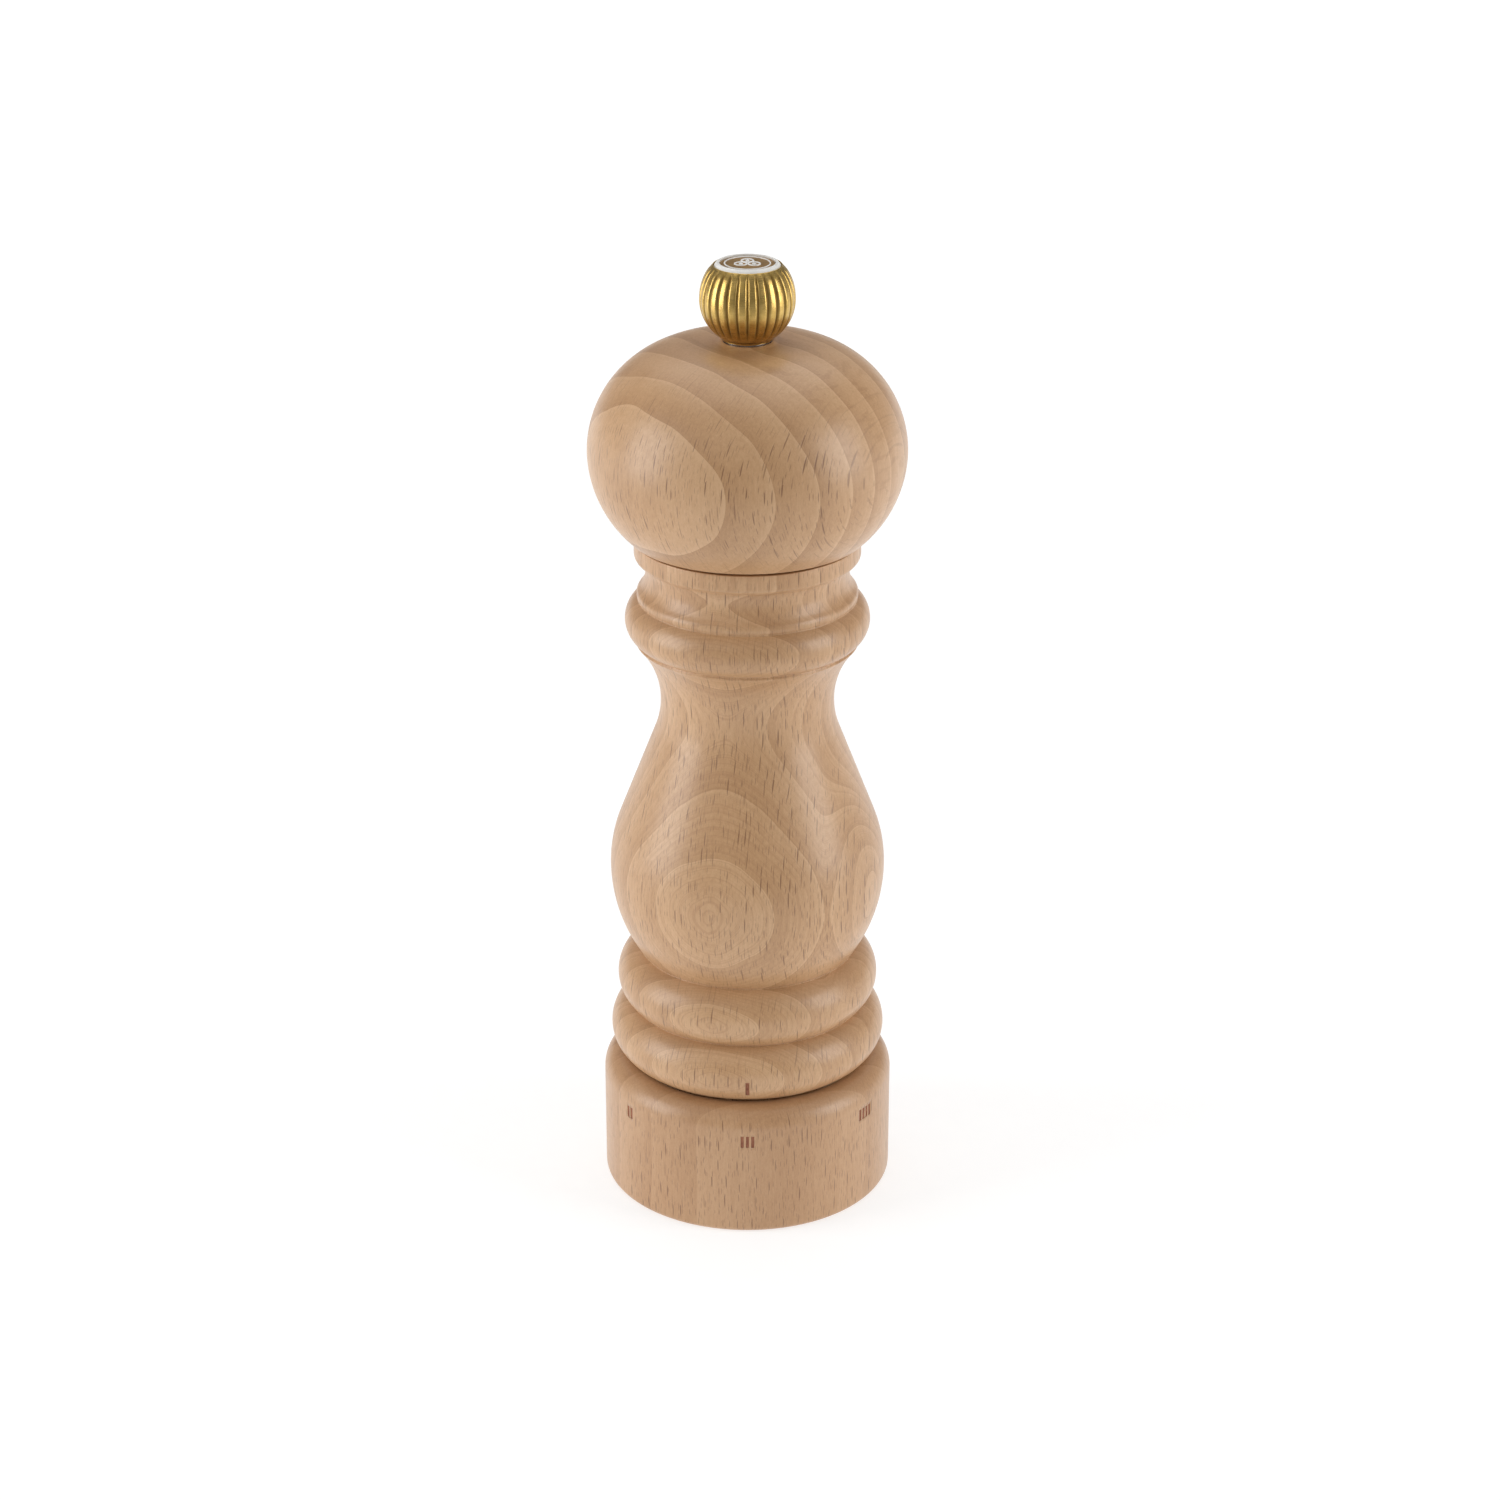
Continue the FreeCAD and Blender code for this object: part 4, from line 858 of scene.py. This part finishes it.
# %% ring, disc and motif
TOP_SINK = 0.25                  # the ring's and the disc's tops lie this far below the CAD ones
BEZEL_BORE = 4.95
BEZEL = [
    (BEZEL_BORE, bezel_low.z),
    (5.9, bezel_low.z),
    (5.9, knob_high.z),
    (BEZEL_BORE + 0.35, bezel_high.z - TOP_SINK, 0.06),
    (BEZEL_BORE, bezel_high.z - TOP_SINK),
    (BEZEL_BORE, bezel_low.z),
]
bezel = spin("white_ring", eased(trace(BEZEL)[:-1], 0.1), segments=128)
bezel.data.materials.append(
    smooth_finish("ivory_ring", (0.86, 0.85, 0.81), (0.93, 0.92, 0.89), 0.25))
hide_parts("knob_bezel")
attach(bezel, "knob")

DISC_RADIUS = 4.9
DISC = [
    (0.02, disc_low.z),
    (DISC_RADIUS, disc_low.z),
    (DISC_RADIUS, disc_high.z - TOP_SINK - 0.12),
    (0.02, disc_high.z - TOP_SINK, 0.04),
    (0.02, disc_low.z),
]
disc = spin("bronze_disc", eased(trace(DISC)[:-1], 0.08), segments=128)
disc.data.materials.append(smooth_finish(
    "bronze_lacquer", (0.31, 0.165, 0.038), (0.39, 0.215, 0.055), 0.36, metallic=0.6))
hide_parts("knob_disc")
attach(disc, "knob")


def hoop(verts, faces, centre, radius, thick, level, count=48, sides=8):
    """Add a thin ring of round section lying flat."""
    first = len(verts)
    for k in range(count):
        turn = 2 * math.pi * k / count
        for j in range(sides):
            lift = 2 * math.pi * j / sides
            reach = radius + thick * math.cos(lift)
            verts.append(((centre[0] + reach * math.cos(turn)) * MM,
                          (centre[1] + reach * math.sin(turn)) * MM,
                          (level + thick * math.sin(lift)) * MM))
    for k in range(count):
        for j in range(sides):
            a = first + k * sides + j
            b = first + k * sides + (j + 1) % sides
            c = first + ((k + 1) % count) * sides + (j + 1) % sides
            d = first + ((k + 1) % count) * sides + j
            faces.append((a, d, c, b))


verts, faces = [], []
motif_level = disc_high.z - TOP_SINK
hoop(verts, faces, (0, 0), 4.0, 0.14, motif_level - 0.05, count=96)
for turn in (90, 210, 330):
    spot = (1.35 * math.cos(math.radians(turn)), 1.35 * math.sin(math.radians(turn)))
    hoop(verts, faces, spot, 1.05, 0.17, motif_level)
    hoop(verts, faces, spot, 0.22, 0.17, motif_level, count=20)
motif_mesh = bpy.data.meshes.new("peppercorn_motif")
motif_mesh.from_pydata(verts, [], faces)
motif_mesh.shade_smooth()
motif = bpy.data.objects.new("peppercorn_motif", motif_mesh)
bpy.context.scene.collection.objects.link(motif)
motif_mesh.materials.append(
    smooth_finish("silver_print", (0.88, 0.87, 0.84), (0.95, 0.94, 0.92), 0.3))
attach(motif, "knob")
print("motif has", len(verts), "vertices")

# %% [markdown]
# ## The works
#
# Inside are steel burrs, a square shaft, a brass bush, nylon mouldings and small screws. Their CAD
# shapes are right as they are, so they only need finishes. Steel that was turned or ground shows
# fine lines round its axis, which one function makes for all the metals, with the line pattern
# changing the roughness and the bump a little.

# %% metal finishes for the works
def machined(name, first, second, roughness, lines=6.0, metallic=1.0):
    """Metal with fine turning lines stacked up the axis and faint stains."""
    metal = Finish(name)
    place = metal.add("TexCoord")
    point = metal.scaled(place.outputs["Object"], (1 / MM, 1 / MM, 1 / MM))
    stain = metal.noise(point, 0.35, 4.0).outputs["Fac"]
    turned = metal.noise(metal.scaled(point, (0.35, 0.35, lines)), 1.0, 3.0, 0.6).outputs["Fac"]
    colour = metal.mix(metal.ramp(stain, 0.3, 0.7), rgb(*first), rgb(*second))
    bump = metal.add("Bump", {"Height": turned, "Strength": 0.25, "Distance": 0.00003})
    metal.set(Base_Color=colour, Metallic=metallic, Normal=bump.outputs["Normal"],
              Roughness=metal.ramp(turned, 0.3, 0.7, roughness - 0.07, roughness + 0.09))
    return metal.material


FINISHES = {
    "burr_steel": machined("burr_steel", (0.20, 0.20, 0.215), (0.30, 0.295, 0.30), 0.38),
    "spring_steel": machined("spring_steel", (0.40, 0.41, 0.43), (0.52, 0.53, 0.55), 0.28),
    "screw_steel": machined("screw_steel", (0.62, 0.63, 0.65), (0.74, 0.74, 0.75), 0.24),
    "plate_steel": machined("plate_steel", (0.50, 0.50, 0.52), (0.60, 0.60, 0.61), 0.33, 2.5),
    "shaft_aluminium": machined(
        "shaft_aluminium", (0.68, 0.69, 0.71), (0.78, 0.78, 0.79), 0.34, 0.4),
    "bush_brass": machined("bush_brass", (0.70, 0.48, 0.18), (0.80, 0.58, 0.26), 0.27),
    "zinc_casting": machined("zinc_casting", (0.34, 0.34, 0.35), (0.42, 0.42, 0.43), 0.5, 1.5),
    "nylon_pale": smooth_finish(
        "nylon_pale", (0.70, 0.66, 0.57), (0.78, 0.75, 0.67), 0.46, Subsurface_Weight=0.15,
        Subsurface_Radius=(0.002, 0.0018, 0.0014)),
    "nylon_dark": smooth_finish(
        "nylon_dark", (0.030, 0.027, 0.025), (0.050, 0.046, 0.042), 0.42),
}
slot_of = {part["node"]: part["material_slot"] for part in frame["record"]["subparts"]}
finished = 0
for name, node in nodes.items():
    if slot_of[name] in FINISHES:
        node.data.materials.clear()
        node.data.materials.append(FINISHES[slot_of[name]])
        finished += 1
print(finished, "CAD pieces of the works have finishes")

# %% [markdown]
# ## The spring
#
# A short coil of drawn wire presses the burr's carrier down on its cam. The end turns of a real
# spring lie flat, so the wire's pitch fades out at both ends. A curve with a round bevel would give
# the same shape, but the real spring is pressed shorter as the cam lifts the carrier, and here it is
# a plain mesh with data of its own.

# %% burr spring
spring_low, spring_high = measured("burr_spring")
WIRE = 0.55
COILS = 3.5
FLAT_TURNS = 0.4


def coil(radius, low, high, steps=252, sides=12):
    """A closed tube of wire wound from low to high, with nearly flat end turns."""
    verts, faces = [], []
    for k in range(steps + 1):
        turn = COILS * k / steps
        share = min(max((turn - FLAT_TURNS) / (COILS - 2 * FLAT_TURNS), 0.0), 1.0)
        height = low + WIRE + (high - low - 2 * WIRE) * share
        for j in range(sides):
            lift = 2 * math.pi * j / sides
            reach = radius + WIRE * math.cos(lift)
            verts.append((reach * math.cos(2 * math.pi * turn) * MM,
                          reach * math.sin(2 * math.pi * turn) * MM,
                          (height + WIRE * math.sin(lift)) * MM))
    for k in range(steps):
        for j in range(sides):
            a = k * sides + j
            b = k * sides + (j + 1) % sides
            faces.append((a, a + sides, b + sides, b))
    faces.append(tuple(range(sides)))
    faces.append(tuple(reversed(range(steps * sides, (steps + 1) * sides))))
    return verts, faces


verts, faces = coil(spring_high.x - WIRE, spring_low.z, spring_high.z)
spring_mesh = bpy.data.meshes.new("wound_spring")
spring_mesh.from_pydata(verts, [], faces)
spring_mesh.shade_smooth()
spring_mesh.materials.append(FINISHES["spring_steel"])
spring = bpy.data.objects.new("wound_spring", spring_mesh)
bpy.context.scene.collection.objects.link(spring)
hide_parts("burr_spring")
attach(spring, "barrel")
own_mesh(spring)

# %% [markdown]
# ## Camera
#
# The mill is seen from a little above, through a long lens. The height and distance matter as much
# as the angle, because they set how round the rims look: the base ring's foot is seen more open
# than the knob's rim.

# %% camera
LENS = 84.5
LOOK_DOWN = 23.69
CAMERA_PLACE = (0.0, -0.5955, 0.3482)
camera_data = bpy.data.cameras.new("camera")
camera_data.sensor_width = 36.0
camera_data.lens = LENS
camera_data.shift_x = 0.0017
camera = bpy.data.objects.new("camera", camera_data)
camera.location = CAMERA_PLACE
camera.rotation_euler = (math.radians(90 - LOOK_DOWN), 0.0, 0.0)
bpy.context.scene.collection.objects.link(camera)
bpy.context.scene.camera = camera
print("the camera is", round(Vector(CAMERA_PLACE).length, 3), "m from the mill's foot")

# %% [markdown]
# ## Floor and light
#
# The setting is a white-looking studio table in soft light. Big soft lights on both sides make the
# edges of the turning shine, a softer one from the front left models its middle, and one overhead
# lights the table. The table is grey paper with painted light: it emits light of its own, which
# makes it look white and keeps the shadow under the base pale. Nearer the camera it emits less, so
# the wood's middle, which faces that way, stays warm and a little darker than its sides.

# %% floor
def table_top():
    """Grey paper that emits painted light of its own, to look white: more further out, less to the
    front.
    """
    paper = Finish("studio_paper")
    place = paper.add("TexCoord")
    spot = place.outputs["Object"]
    away = paper.vector("LENGTH", spot).outputs["Value"]
    forward = paper.add("SeparateXYZ", {"Vector": spot}).outputs[1]
    grain = paper.noise(spot, 300.0, 2.0).outputs["Fac"]
    near = paper.mix(grain, rgb(0.42, 0.42, 0.42), rgb(0.46, 0.46, 0.46))
    colour = paper.mix(paper.ramp(away, 0.3, 1.6), near, rgb(0.30, 0.30, 0.30))
    # painted light: the paper emits light, weaker near the mill on the camera's side, which shades
    # the wood's front
    painted_floor_light = paper.calc("MULTIPLY", paper.ramp(away, 0.2, 1.2, 0.68, 0.95),
                      paper.ramp(forward, -0.45, -0.13, 0.25, 1.0))
    paper.set(Base_Color=colour, Roughness=0.9, Specular_IOR_Level=0.1,
              Emission_Color=rgb(1, 1, 1), Emission_Strength=painted_floor_light)
    return paper.material


REACH = 6.0
floor_mesh = bpy.data.meshes.new("floor")
floor_mesh.from_pydata([(-REACH, -REACH, 0), (REACH, -REACH, 0), (REACH, REACH, 0),
                        (-REACH, REACH, 0)], [], [(0, 1, 2, 3)])
floor_mesh.materials.append(table_top())
floor = bpy.data.objects.new("floor", floor_mesh)
bpy.context.scene.collection.objects.link(floor)
print("the floor reaches", REACH, "m each way")

# %% lights
def soft_light(name, place, target, size, watts):
    """A rectangular light at a place, turned towards its target."""
    data = bpy.data.lights.new(name, "AREA")
    data.shape = "RECTANGLE"
    data.size, data.size_y = size
    data.energy = watts
    light = bpy.data.objects.new(name, data)
    light.location = place
    aim = Vector(target) - Vector(place)
    light.rotation_euler = aim.to_track_quat("-Z", "Y").to_euler()
    bpy.context.scene.collection.objects.link(light)
    return light


middle = (0.0, 0.0, 0.09)
soft_light("left_box", (-0.86, -0.20, 0.34), middle, (0.5, 0.7), 4.7)
soft_light("right_box", (0.84, -0.26, 0.36), middle, (0.45, 0.65), 3.8)
soft_light("front_box", (-0.35, -0.80, 0.85), middle, (0.45, 0.45), 0.30)
soft_light("overhead", (0.0, 0.40, 1.2), middle, (1.4, 1.4), 6.5)

world = bpy.data.worlds.new("studio")
bpy.context.scene.world = world
world.use_nodes = True
world.node_tree.nodes["Background"].inputs["Color"].default_value = rgb(1.0, 1.0, 1.0)
world.node_tree.nodes["Background"].inputs["Strength"].default_value = 0.26
bpy.context.scene.view_settings.view_transform = "Standard"
bpy.context.scene.view_settings.look = "None"
